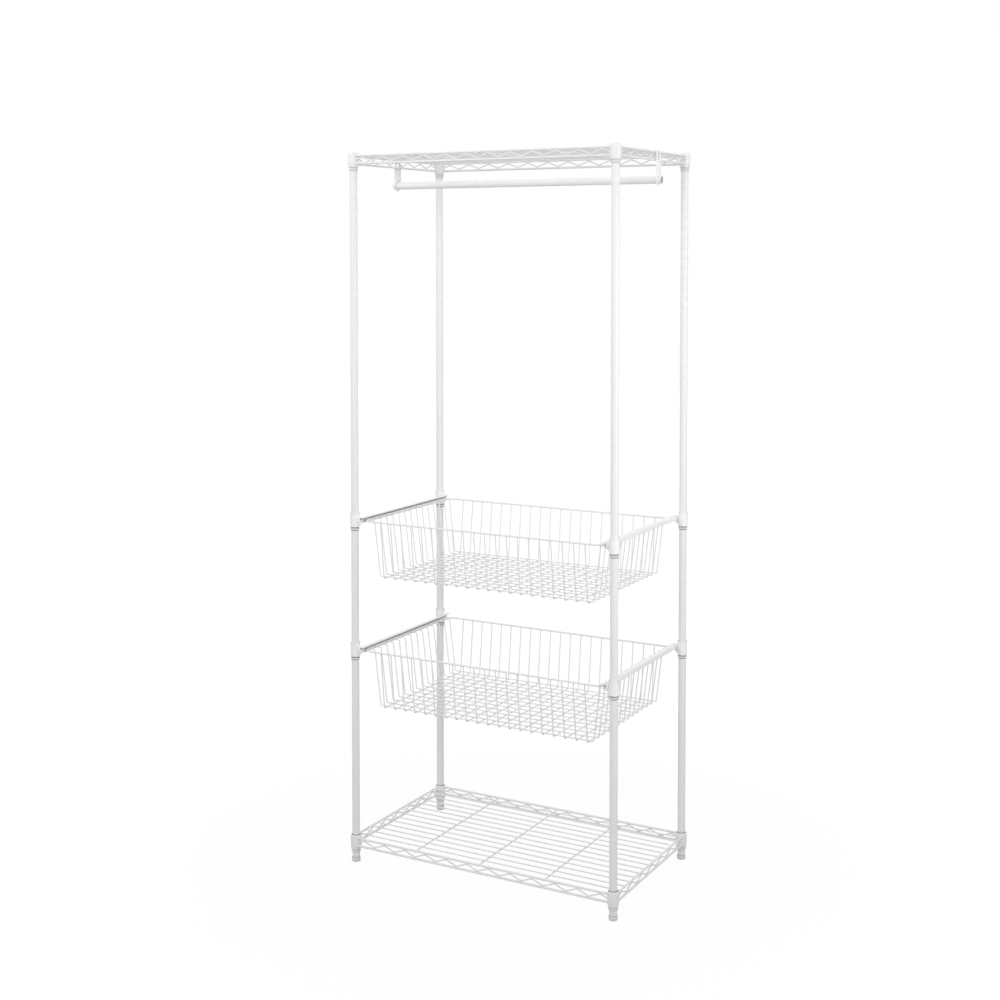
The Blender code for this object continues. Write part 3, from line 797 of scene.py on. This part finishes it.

# %% [markdown]
# ## Split sleeves
# A shelf doesn't clamp its post. Two plastic half sleeves close round the post, and the collar
# slides down over their taper until it locks. The lip under each collar shows as a ring between two
# thin shadows, so the profile has a narrow neck above the lip and another below it, and above the
# bottom shelf shade is painted into the necks. The bottom shelf is seen from above, and there the
# sleeves' upper edge stands out of the collar as a ring of painted shade. Each half is a little
# less than half a turn.

# %% Turn the half sleeves
SEAM_TURN = 1.7
SLEEVE_TOP = 0.0345
RAISED_SLEEVE_TOP = 0.0375


def sleeve_profile(top):
    """Half a sleeve's section: the taper, the neck, the lip, the second neck and the bore."""
    return [
        (0.0103, top),
        (0.0105, top - 0.0003),
        (0.0109, 0.0006),
        (0.0100, -0.0003),
        (0.0100, -0.0026),
        (0.0111, -0.0028),
        (0.0114, -0.0032),
        (0.0114, -0.0066),
        (0.0111, -0.0070),
        (0.0100, -0.0072),
        (0.0100, -0.0088),
        (0.0099, -0.0090),
        (0.0098, -0.0088),
        (0.0098, top - 0.0003),
        (0.0100, top),
    ]


LEVELS = {
    "bottom_shelf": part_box("bottom_shelf")[0].z,
    "lower_rail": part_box("lower_rail_right")[0].z,
    "upper_rail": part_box("upper_rail_right")[0].z,
    "top_shelf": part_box("top_shelf")[0].z,
}
for level, foot in LEVELS.items():
    profile = sleeve_profile(RAISED_SLEEVE_TOP if level == "bottom_shelf" else SLEEVE_TOP)
    for half, start in {"front": 180 + SEAM_TURN, "back": SEAM_TURN}.items():
        mesh = turned(profile, True, start, 180 - 2 * SEAM_TURN)
        for corner, place in at_posts(foot).items():
            node = f"{level}_sleeve_{corner}_{half}"
            stand_for(node, "split", moved(mesh, place), SLEEVE_PLASTIC)
print("collars start at heights", {level: round(foot, 4) for level, foot in LEVELS.items()})

# %% [markdown]
# ## Bent wires
# Shelves and baskets are drawn wire, bent and spot welded. A tree turns a bare path into such a
# wire: it rounds the path's corners with the bend radius, sweeps a circle along it, and repeats the
# wire along a line. The first part is a function, because the zigzag wire below needs it too.


# %% A tree for a row of bent wires
WIRE_LENGTHS = ["Wire radius", "Bend radius"]
WIRE_COUNTS = ["Sides", "Bend steps"]


def bent_wire(points, given):
    """The nodes that turn a line of points into a round wire with real bends."""
    path = points.node("GeometryNodeMeshToCurve", None, {"Mesh": points})
    bend = {"Curve": path, "Count": given["Bend steps"], "Radius": given["Bend radius"]}
    bend["Limit Radius"] = True
    path = points.node("GeometryNodeFilletCurve", {"mode": "POLY"}, bend)
    round_bar = {"Resolution": given["Sides"], "Radius": given["Wire radius"]}
    round_bar = points.node("GeometryNodeCurvePrimitiveCircle", None, round_bar)
    swept = {"Curve": path, "Profile Curve": round_bar, "Fill Caps": True}
    return points.node("GeometryNodeCurveToMesh", None, swept)


wired, given = new_tree("bent_wires", WIRE_LENGTHS, [*WIRE_COUNTS, "Count"], ["Start", "Step"])
swept = bent_wire(given["Geometry"], given)
row = {"Count": given["Count"], "Start Location": given["Start"], "Offset": given["Step"]}
row = wired.node("GeometryNodeMeshLine", OFFSET_LINE, row)
repeated = {"Points": row, "Instance": swept}
BENT_WIRES = close_tree(wired, given, wired.node("GeometryNodeInstanceOnPoints", None, repeated))
print("the wire tree has", len(BENT_WIRES.nodes), "nodes")


# %% Bend a row of wires
WIRE_SIDES = 12
WIRE_BEND = 0.0035
WIRE_BEND_STEPS = 4


def wires(
    paths,
    radius,
    material,
    count=1,
    step=(0, 0, 0),
    bend=WIRE_BEND,
    steps=WIRE_BEND_STEPS,
    closed=False,
):
    """Round wires along paths, repeated count times about the middle, as a plain mesh."""
    values = {
        "Wire radius": radius,
        "Sides": WIRE_SIDES,
        "Bend radius": bend,
        "Bend steps": steps,
        "Count": count,
        "Start": [-side * (count - 1) / 2 for side in step],
        "Step": step,
        "Material": material,
    }
    return grow(BENT_WIRES, values, lines(paths, closed))


print("a wire has", WIRE_SIDES, "sides")

# %% [markdown]
# ## Truss wire
# Between the two rim wires of a shelf runs a zigzag wire that makes the rim stiff. Its rule is a
# triangle wave: the height goes up and down with the distance along. The ends are held at the
# collars, and because the height is worked out after that, the wave stays true where it is cut.

# %% A tree for a zigzag wire
lengths = [*WIRE_LENGTHS, "Reach", "Cut", "Low", "High"]
waved, given = new_tree("truss_wire", lengths, [*WIRE_COUNTS, "Waves"])
index = waved.node("GeometryNodeInputIndex")
stride = given["Reach"] / given["Waves"]
along = index * stride - given["Reach"]
along = along.at_least(given["Cut"] * -1).at_most(given["Cut"])
rise = along.math("PINGPONG", (along + given["Reach"]) / stride, 1.0)
height = given["Low"] + rise * (given["High"] - given["Low"])
row = waved.node("GeometryNodeMeshLine", OFFSET_LINE, {"Count": given["Waves"] * 2 + 1})
point = waved.node("ShaderNodeCombineXYZ", None, {"X": along, "Z": height})
row = waved.node("GeometryNodeSetPosition", None, {"Geometry": row, "Position": point})
TRUSS_WIRE = close_tree(waved, given, bent_wire(row, given))
print("the truss tree has", len(TRUSS_WIRE.nodes), "nodes")

# %% [markdown]
# ## Weld spots
# Where two wires cross they are pressed together while a current melts them, which leaves a small
# bulge under the coat. A tree puts a low bead on every point of a grid of crossings. There are
# hundreds, so a bead has only a few dozen faces.

# %% A tree for a grid of weld spots
BEAD_SEGMENTS = 8
BEAD_RINGS = 4
vectors = ["Size", "Centre", "Bead shape"]
welded, given = new_tree("weld_spots", ["Bead radius"], ["Columns", "Rows"], vectors)
width, depth, _ = given["Size"].parts()
crossings = {
    "Size X": width,
    "Size Y": depth,
    "Vertices X": given["Columns"],
    "Vertices Y": given["Rows"],
}
crossings = welded.node("GeometryNodeMeshGrid", None, crossings)
shifted = {"Geometry": crossings, "Offset": given["Centre"]}
crossings = welded.node("GeometryNodeSetPosition", None, shifted)
bead = {"Segments": BEAD_SEGMENTS, "Rings": BEAD_RINGS, "Radius": given["Bead radius"]}
bead = welded.node("GeometryNodeMeshUVSphere", None, bead)
beads = {"Points": crossings, "Instance": bead, "Scale": given["Bead shape"]}
WELD_SPOTS = close_tree(welded, given, welded.node("GeometryNodeInstanceOnPoints", None, beads))


def welds(width, depth, columns, rows, height, radius, flatness, material):
    """Weld beads on a grid of crossings at that height, as a plain mesh."""
    values = {
        "Size": (width, depth, 0),
        "Columns": columns,
        "Rows": rows,
        "Centre": (0, 0, height),
        "Bead radius": radius,
        "Bead shape": (1, 1, flatness),
        "Material": material,
    }
    return grow(WELD_SPOTS, values)


print("the weld tree has", len(WELD_SPOTS.nodes), "nodes")

# %% [markdown]
# ## Shelf collars
# A shelf's corner is a short cast sleeve, barrel shaped, with a rounded shoulder and a tapered bore
# that wedges on the split sleeves. The profile runs down the outside and back up the bore.

# %% Turn the shelf collar
BORE_FOOT = 0.0112
BORE_TOP = 0.0108
SHELF_COLLAR_PROFILE = [
    (0.0111, 0.0360),
    (0.0121, 0.0360),
    (0.0126, 0.0356),
    (0.0130, 0.0346),
    (0.0134, 0.0325),
    (0.0137, 0.0290),
    (0.0138, 0.0240),
    (0.0138, 0.0160),
    (0.0137, 0.0115),
    (0.0134, 0.0070),
    (0.0129, 0.0028),
    (0.0125, 0.0006),
    (0.0120, 0),
    (0.0116, 0),
    (BORE_FOOT, 0.0005),
    (BORE_TOP, 0.0356),
]
shelf_collar = turned(SHELF_COLLAR_PROFILE, closed=True)
print("the shelf collar is", max(height for _, height in SHELF_COLLAR_PROFILE), "m high")

# %% [markdown]
# ## Wire shelves
# A shelf is four collars, two rim wires on each side, a truss wire between them, a mat of wires
# that runs the long way and three wires under the mat. Every wire end is welded to a collar or a
# rim, so the wires are cut just short of the collar's bore and sink a little into what they meet.

# %% Wire up a shelf
RIM_RADIUS = 0.00275
RIM_LOW = 0.0095
RIM_HIGH = 0.029
RIM_OUTSET = 0.007
RIM_X = POST_X + RIM_OUTSET
RIM_Y = POST_Y + RIM_OUTSET
COLLAR_CLEARANCE = 0.0106
TRUSS_RADIUS = 0.0017
TRUSS_WAVES = {"long": 12, "short": 7}
TRUSS_BEND = 0.003
TRUSS_BEND_STEPS = 3
MAT_RADIUS = 0.0016
MAT_COUNT = 14
MAT_HEIGHT = RIM_HIGH + 0.001
CROSS_RADIUS = 0.0019
CROSS_COUNT = 3
WELD_SINK = 0.0002
MAT_WELD_FLATNESS = 0.6

end_x = POST_X - COLLAR_CLEARANCE
end_y = POST_Y - COLLAR_CLEARANCE
mat_pitch = 2 * RIM_Y / (MAT_COUNT + 1)
mat_reach = mat_pitch * (MAT_COUNT - 1) / 2
cross_pitch = 2 * POST_X / (CROSS_COUNT + 1)
cross_height = MAT_HEIGHT - MAT_RADIUS - FIT_GAP - CROSS_RADIUS

rims = []
for height in (RIM_LOW, RIM_HIGH):
    for side in (-1, 1):
        rims.append([(-end_x, side * RIM_Y, height), (end_x, side * RIM_Y, height)])
        rims.append([(side * RIM_X, -end_y, height), (side * RIM_X, end_y, height)])

apex = RIM_RADIUS + TRUSS_RADIUS - WELD_SINK
trusses = {}
for run, reach in {"long": POST_X, "short": POST_Y}.items():
    trusses[run] = grow(
        TRUSS_WIRE,
        {
            "Reach": reach,
            "Cut": reach - COLLAR_CLEARANCE,
            "Waves": TRUSS_WAVES[run],
            "Low": RIM_LOW + apex,
            "High": RIM_HIGH - apex,
            "Wire radius": TRUSS_RADIUS,
            "Sides": WIRE_SIDES,
            "Bend radius": TRUSS_BEND,
            "Bend steps": TRUSS_BEND_STEPS,
            "Material": SHELF_COAT,
        },
    )

parts = [moved(shelf_collar, place) for place in at_posts(0).values()]
parts.append(wires(rims, RIM_RADIUS, SHELF_COAT))
for side in (-1, 1):
    parts.append(moved(trusses["long"], Matrix.Translation((0, side * RIM_Y, 0))))
    turn = Matrix.Translation((side * RIM_X, 0, 0)) @ Matrix.Rotation(math.pi / 2, 4, "Z")
    parts.append(moved(trusses["short"], turn))
mat_wire = [[(-RIM_X, 0, MAT_HEIGHT), (RIM_X, 0, MAT_HEIGHT)]]
parts.append(wires(mat_wire, MAT_RADIUS, SHELF_COAT, MAT_COUNT, (0, mat_pitch, 0)))
cross_wire = [[(0, -RIM_Y, cross_height), (0, RIM_Y, cross_height)]]
parts.append(wires(cross_wire, CROSS_RADIUS, SHELF_COAT, CROSS_COUNT, (cross_pitch, 0, 0)))
parts.append(
    welds(
        2 * cross_pitch,
        2 * mat_reach,
        CROSS_COUNT,
        MAT_COUNT,
        MAT_HEIGHT - MAT_RADIUS,
        CROSS_RADIUS,
        MAT_WELD_FLATNESS,
        SHELF_COAT,
    )
)
shelf_mesh = joined("shelf", parts)
for name in ("top_shelf", "bottom_shelf"):
    place = Matrix.Translation((0, 0, LEVELS[name]))
    stand_for(name, "wirework", moved(shelf_mesh, place), SHELF_COAT)
print("a shelf has", MAT_COUNT, "mat wires and", len(shelf_mesh.polygons), "faces")

# %% [markdown]
# ## Wire baskets
# A basket has a thick rim wire in a rounded rectangle. Twenty wires run down the front, along under
# the floor and up the back. Fourteen more run across, on top of them. Those leave the rim level, as
# a flange that clears the rail's lip, and then turn down. Each kind of wire is one path for the
# tree.

# %% Bend and weld a basket
BASKET_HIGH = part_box("upper_basket")[1]
BASKET_RIM_RADIUS = 0.0025
BASKET_WIRE_RADIUS = 0.0015
BASKET_RIM_X = BASKET_HIGH.x - BASKET_RIM_RADIUS
BASKET_RIM_Y = BASKET_HIGH.y - BASKET_RIM_RADIUS
BASKET_CORNER = 0.022
BASKET_CORNER_STEPS = 8
BASKET_DEPTH = 0.143
FRONT_LEAN = 0.016
SIDE_LEAN = 0.0174
FLANGE = 0.02
FRONT_COUNT = 20
FRONT_REACH = BASKET_RIM_X - 0.0515
SIDE_COUNT = 14
SIDE_INSET = 0.005
FRONT_SINK = 0.0005
BASKET_WELD_FLATNESS = 0.7

front_foot = BASKET_RIM_Y - FRONT_LEAN
side_reach = front_foot - SIDE_INSET
wall_top = BASKET_RIM_X - FLANGE
side_foot = wall_top - SIDE_LEAN
side_floor = -BASKET_DEPTH + 2 * BASKET_WIRE_RADIUS + FIT_GAP
front_wire = [(0, BASKET_RIM_Y, -FRONT_SINK), (0, front_foot, -BASKET_DEPTH)]
front_wire += [(0, -y, z) for _, y, z in front_wire[::-1]]
side_wire = [(BASKET_RIM_X, 0, 0), (wall_top, 0, 0), (side_foot, 0, side_floor)]
side_wire += [(-x, 0, z) for x, _, z in side_wire[::-1]]
rim = [(x * BASKET_RIM_X, y * BASKET_RIM_Y, 0) for x, y in ((1, 1), (-1, 1), (-1, -1), (1, -1))]
rim_bend = {"bend": BASKET_CORNER, "steps": BASKET_CORNER_STEPS, "closed": True}
front_step = (2 * FRONT_REACH / (FRONT_COUNT - 1), 0, 0)
side_step = (0, 2 * side_reach / (SIDE_COUNT - 1), 0)

parts = [
    wires([rim], BASKET_RIM_RADIUS, BASKET_COAT, **rim_bend),
    wires([front_wire], BASKET_WIRE_RADIUS, BASKET_COAT, FRONT_COUNT, front_step),
    wires([side_wire], BASKET_WIRE_RADIUS, BASKET_COAT, SIDE_COUNT, side_step),
    welds(
        2 * FRONT_REACH,
        2 * side_reach,
        FRONT_COUNT,
        SIDE_COUNT,
        -BASKET_DEPTH + BASKET_WIRE_RADIUS + FIT_GAP / 2,
        BASKET_WIRE_RADIUS,
        BASKET_WELD_FLATNESS,
        BASKET_COAT,
    ),
]
basket_mesh = joined("basket", parts)
RIM_HEIGHTS = {}
for level in ("upper", "lower"):
    RIM_HEIGHTS[level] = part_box(f"{level}_basket")[1].z - BASKET_RIM_RADIUS
    place = Matrix.Translation((0, 0, RIM_HEIGHTS[level]))
    stand_for(f"{level}_basket", "wirework", moved(basket_mesh, place), BASKET_COAT)
print("a basket has", FRONT_COUNT * SIDE_COUNT, "floor welds")

# %% [markdown]
# ## Pushed shapes
# Rails, tabs and gussets are flat outlines pushed to a length. Sheet metal never has a sharp bend,
# so each corner of an outline is first rounded with its own radius, on a curve between two tangent
# points.


# %% Round and push an outline
def rounded(corners, steps=4):
    """The outline of (across, up, bend radius) corners, each turned into a small curve."""
    outline = []
    for i, (across, up, radius) in enumerate(corners):
        corner = Vector((across, up))
        if radius == 0:
            outline.append(tuple(corner))
            continue
        before = (Vector(corners[i - 1][:2]) - corner).normalized()
        after = (Vector(corners[(i + 1) % len(corners)][:2]) - corner).normalized()
        reach = radius / math.tan(before.angle(after) / 2)
        start = corner + before * reach
        end = corner + after * reach
        for step in range(steps + 1):
            t = step / steps
            outline.append(tuple(start * (1 - t) ** 2 + corner * 2 * t * (1 - t) + end * t**2))
    return outline


def pushed(outline, low, high, turn):
    """A solid with that outline from low to high along its own Z, then turned into place."""
    work = bmesh.new()
    face = work.faces.new([work.verts.new((across, up, low)) for across, up in outline])
    grown = bmesh.ops.extrude_face_region(work, geom=[face])["geom"]
    far = [item for item in grown if isinstance(item, bmesh.types.BMVert)]
    bmesh.ops.translate(work, verts=far, vec=(0, 0, high - low))
    bmesh.ops.recalc_face_normals(work, faces=work.faces)
    work.transform(turn)
    return plain_mesh("pushed", work)


UPRIGHT = Matrix.Rotation(math.pi / 2, 4, "X")
square = [(0, 0, 1), (4, 0, 1), (4, 4, 1), (0, 4, 1)]
print("a square with rounded corners has", len(rounded(square)), "points")

# %% [markdown]
# ## Slide rails
# Each basket hangs by its rim in two folded channels that open inwards. A channel is 1.5 mm sheet
# with a floor, a back and a roof. Shade is painted under the roof, and a mask that repeats with the
# distance between the two baskets darkens both levels at once.

# %% Draw the channel and mix its coat
RAIL_SHEET = 0.0015
RAIL_LIP = BASKET_RIM_X - 0.0037
RAIL_BACK = POST_X - 0.017
RAIL_FRONT = RAIL_BACK - RAIL_SHEET
RAIL_FLOOR = -0.0028
RAIL_ROOF = 0.0075
RAIL_END = POST_Y + 0.005
RIM_ABOVE_FOOT = 0.0163
OUTER_BEND = 0.0019
INNER_BEND = 0.0004
EDGE = 0.0003
CHANNEL_OUTLINE = [
    (RAIL_LIP, RAIL_FLOOR - RAIL_SHEET, EDGE),
    (RAIL_BACK, RAIL_FLOOR - RAIL_SHEET, OUTER_BEND),
    (RAIL_BACK, RAIL_ROOF + RAIL_SHEET, OUTER_BEND),
    (RAIL_LIP, RAIL_ROOF + RAIL_SHEET, EDGE),
    (RAIL_LIP, RAIL_ROOF, EDGE),
    (RAIL_FRONT, RAIL_ROOF, INNER_BEND),
    (RAIL_FRONT, RAIL_FLOOR, INNER_BEND),
    (RAIL_LIP, RAIL_FLOOR, EDGE),
]
# How dark the shade painted under a channel's roof is, and how far above the rim it starts.
CHANNEL_SHADE = 0.6
SHADE_ABOVE_RIM = 0.7 * BASKET_RIM_RADIUS


def channel_shade(place):
    """Painted shade under a channel's roof, on the inner faces above the basket's rim."""
    across, _, height = place.parts()
    apart = RIM_HEIGHTS["upper"] - RIM_HEIGHTS["lower"]
    above_rim = (height - (RIM_HEIGHTS["lower"] - apart / 2)) % apart - apart / 2
    inside = (above_rim > SHADE_ABOVE_RIM) * (above_rim < RAIL_ROOF + EDGE)
    return inside * (abs(across) < RAIL_FRONT + EDGE) * CHANNEL_SHADE


RAIL_COAT = powder_coat("rail_powder_coat", 0.92, 0.89, 0.36, channel_shade)
print("the channel's mouth is", round(RAIL_ROOF - RAIL_FLOOR, 4), "m high")

# %% [markdown]
# ## Collars and tabs of a rail
# A short tab welds each end of the channel to a plain collar on its post, and a small gusset
# supports the tab. The right rail is made once, and the left one is its mirror.

# %% Weld the rails
RAIL_COLLAR_RADIUS = 0.0120
RAIL_COLLAR_PROFILE = [
    (0.0111, 0.0360),
    (0.0124, 0.0360),
    (0.0128, 0.0358),
    (0.0129, 0.0354),
    (0.0128, 0.0346),
    (0.0123, 0.0334),
    (RAIL_COLLAR_RADIUS, 0.0318),
    (RAIL_COLLAR_RADIUS, 0.0310),
    (RAIL_COLLAR_RADIUS, 0.0014),
    (RAIL_COLLAR_RADIUS, 0.0007),
    (0.0118, 0.0002),
    (0.0114, 0),
    (BORE_FOOT, 0.0004),
    (BORE_TOP, 0.0356),
]
WELD_RADIUS = 0.0114
TAB_INSET = 0.001
TAB_HALF = 0.006
GUSSET_HALF = 0.00125
GUSSET_REACH = 0.004

weld_x = POST_X - WELD_RADIUS
web_middle = (RAIL_BACK + RAIL_FRONT) / 2
tab_low = RAIL_FLOOR - RAIL_SHEET + TAB_INSET
tab_high = RAIL_ROOF + RAIL_SHEET - TAB_INSET
tab = [(web_middle, tab_low), (weld_x, tab_low), (weld_x, tab_high), (web_middle, tab_high)]
gusset_low = -RIM_ABOVE_FOOT + TAB_INSET
gusset_high = RAIL_FLOOR - RAIL_SHEET / 2
gusset = [
    (RAIL_BACK - GUSSET_REACH, gusset_high, 0),
    (RAIL_BACK - GUSSET_REACH, RAIL_FLOOR - RAIL_SHEET - TAB_INSET, EDGE),
    (POST_X - RAIL_COLLAR_RADIUS, gusset_low, EDGE),
    (weld_x, gusset_low, 0),
    (weld_x, gusset_high, 0),
]
parts = [pushed(rounded(CHANNEL_OUTLINE), -RAIL_END, RAIL_END, UPRIGHT)]
rail_collar = turned(RAIL_COLLAR_PROFILE, closed=True)
for y in (-POST_Y, POST_Y):
    parts.append(moved(rail_collar, Matrix.Translation((POST_X, y, -RIM_ABOVE_FOOT))))
    parts.append(pushed(tab, -y - TAB_HALF, -y + TAB_HALF, UPRIGHT))
    parts.append(pushed(rounded(gusset), -y - GUSSET_HALF, -y + GUSSET_HALF, UPRIGHT))
rail_mesh = joined("rail", parts)
for level in ("upper", "lower"):
    height = LEVELS[f"{level}_rail"] + RIM_ABOVE_FOOT
    for side_name, side in {"right": 1, "left": -1}.items():
        place = Matrix.Translation((0, 0, height)) @ Matrix.Diagonal((side, 1, 1, 1))
        stand_for(f"{level}_rail_{side_name}", "folded", moved(rail_mesh, place), RAIL_COAT)
print("a rail has", len(rail_mesh.polygons), "faces")

# %% [markdown]
# ## Tube brackets
# A bracket is a strip of 2 mm sheet with a round hole for the tube and two fingers that bend over
# the shelf's rim wires. It is drawn flat with straight fingers, cut across where they bend, and
# then rolled round the wire in code, as a press would form it. A thin bevel softens all its edges.

# %% Press the brackets
TUBE_LOW, TUBE_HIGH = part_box("hanging_tube")
TUBE_Y = (TUBE_LOW.y + TUBE_HIGH.y) / 2
TUBE_Z = (TUBE_LOW.z + TUBE_HIGH.z) / 2
TUBE_RADIUS = (TUBE_HIGH.z - TUBE_LOW.z) / 2
STRAP_THICKNESS = 0.002
STRAP_INNER = RIM_X + RIM_RADIUS + FIT_GAP
STRAP_HALF = 0.0145
SLOT_HALF = 0.0045
FINGER_WIDTH = 0.008
FINGER_EDGE = SLOT_HALF + FINGER_WIDTH
SLOT_DROP = 0.01895
SLOT_CORNER = 0.0015
STRAP_CORNER = 0.002
STRAP_BEVEL = 0.0003
HOOK_LEG = 0.007
STRAP_FOOT_STEPS = 24
STRAP_HOLE_STEPS = 32
hook_start = LEVELS["top_shelf"] + RIM_HIGH - TUBE_Z
hook_radius = RIM_RADIUS + FIT_GAP + STRAP_THICKNESS / 2
finger_top = hook_start + math.pi * hook_radius + HOOK_LEG
slot_foot = hook_start - SLOT_DROP


def ring(radius, start, end, steps):
    """Points on a circle round the tube's axis, in the strap's own plane."""
    turns = [math.radians(start + (end - start) * i / steps) for i in range(steps + 1)]
    return [(radius * math.cos(turn), radius * math.sin(turn)) for turn in turns]


shoulder = rounded(
    [
        (STRAP_HALF, 0, 0),
        (STRAP_HALF, slot_foot - (STRAP_HALF - FINGER_EDGE), STRAP_CORNER),
        (FINGER_EDGE, slot_foot, STRAP_CORNER),
        (FINGER_EDGE, finger_top, STRAP_CORNER),
        (SLOT_HALF, finger_top, STRAP_CORNER),
        (SLOT_HALF, slot_foot, SLOT_CORNER),
        (0, slot_foot, 0),
    ]
)[1:-1]
strap_outline = ring(STRAP_HALF, 180, 360, STRAP_FOOT_STEPS) + shoulder
strap_outline += [(-across, up) for across, up in shoulder[::-1]]
strap_hole = ring(TUBE_RADIUS + FIT_GAP, 0, 360, STRAP_HOLE_STEPS)[:-1]
flat = bpy.data.curves.new("strap", "CURVE")
flat.dimensions = "2D"
flat.fill_mode = "BOTH"
flat.extrude = STRAP_THICKNESS / 2 - STRAP_BEVEL
flat.bevel_depth = STRAP_BEVEL
flat.bevel_resolution = 1
flat.offset = -STRAP_BEVEL
for outline in (strap_outline, strap_hole):
    spline = flat.splines.new("POLY")
    spline.points.add(len(outline) - 1)
    for point, (across, up) in zip(spline.points, outline):
        point.co = (across, up, 0, 1)
    spline.use_cyclic_u = True
pattern = placed("strap", flat)
graph = bpy.context.evaluated_depsgraph_get()
strap_mesh = bpy.data.meshes.new_from_object(pattern.evaluated_get(graph))
bpy.data.objects.remove(pattern)
print("the flat strap is", round(finger_top + STRAP_HALF, 4), "m long")

# %% Roll the fingers over the rim wire
BEND_CUTS = 10
STRAP_MERGE = 0.00001
work = bmesh.new()
work.from_mesh(strap_mesh)
bmesh.ops.remove_doubles(work, verts=work.verts, dist=STRAP_MERGE)
for cut in range(BEND_CUTS + 1):
    height = hook_start + math.pi * hook_radius * cut / BEND_CUTS
    everything = work.verts[:] + work.edges[:] + work.faces[:]
    line = {"plane_co": (0, height, 0), "plane_no": (0, 1, 0)}
    bmesh.ops.bisect_plane(work, geom=everything, dist=MERGE, **line)
for point in work.verts:
    across, up, depth = point.co
    past = up - hook_start
    if past <= 0:
        place = (depth, up)
    elif past < math.pi * hook_radius:
        angle = past / hook_radius
        reach = hook_radius + depth
        place = (reach * math.cos(angle) - hook_radius, hook_start + reach * math.sin(angle))
    else:
        place = (-2 * hook_radius - depth, hook_start - (past - math.pi * hook_radius))
    point.co = (STRAP_INNER + STRAP_THICKNESS / 2 + place[0], across + TUBE_Y, place[1] + TUBE_Z)
bmesh.ops.recalc_face_normals(work, faces=work.faces)
bracket_mesh = plain_mesh("bracket", work)
for side_name, side in {"right": 1, "left": -1}.items():
    place = Matrix.Diagonal((side, 1, 1, 1))
    stand_for(f"tube_bracket_{side_name}", "pressed", moved(bracket_mesh, place), TUBE_COAT)
print("a bracket has", len(bracket_mesh.polygons), "faces")

# %% [markdown]
# ## The hanging tube
# Clothes hang from a plain steel tube that passes through both brackets. Its ends are open, so the
# wall's thickness shows, and the cut edges are slightly broken so that they don't scratch.

# %% Turn the tube
TUBE_WALL = 0.001
TUBE_REACH = TUBE_HIGH.x
BREAK = 0.0002
bore = TUBE_RADIUS - TUBE_WALL
TUBE_PROFILE = [
    (TUBE_RADIUS, TUBE_REACH - BREAK),
    (TUBE_RADIUS, -TUBE_REACH + BREAK),
    (TUBE_RADIUS - BREAK, -TUBE_REACH),
    (bore + BREAK, -TUBE_REACH),
    (bore, -TUBE_REACH + BREAK),
    (bore, TUBE_REACH - BREAK),
    (bore + BREAK, TUBE_REACH),
    (TUBE_RADIUS - BREAK, TUBE_REACH),
]
place = Matrix.Translation((0, TUBE_Y, TUBE_Z)) @ Matrix.Rotation(math.pi / 2, 4, "Y")
stand_for("hanging_tube", "drawn", moved(turned(TUBE_PROFILE, closed=True), place), TUBE_COAT)
print("the tube is", round(2 * TUBE_REACH, 4), "m long")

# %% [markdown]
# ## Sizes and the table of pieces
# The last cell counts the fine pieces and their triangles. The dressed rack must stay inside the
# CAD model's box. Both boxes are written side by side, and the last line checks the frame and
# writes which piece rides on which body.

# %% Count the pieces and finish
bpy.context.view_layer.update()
count = sum(len(face.vertices) - 2 for piece in made for face in piece.data.polygons)
print(len(made), "pieces,", count, "triangles")
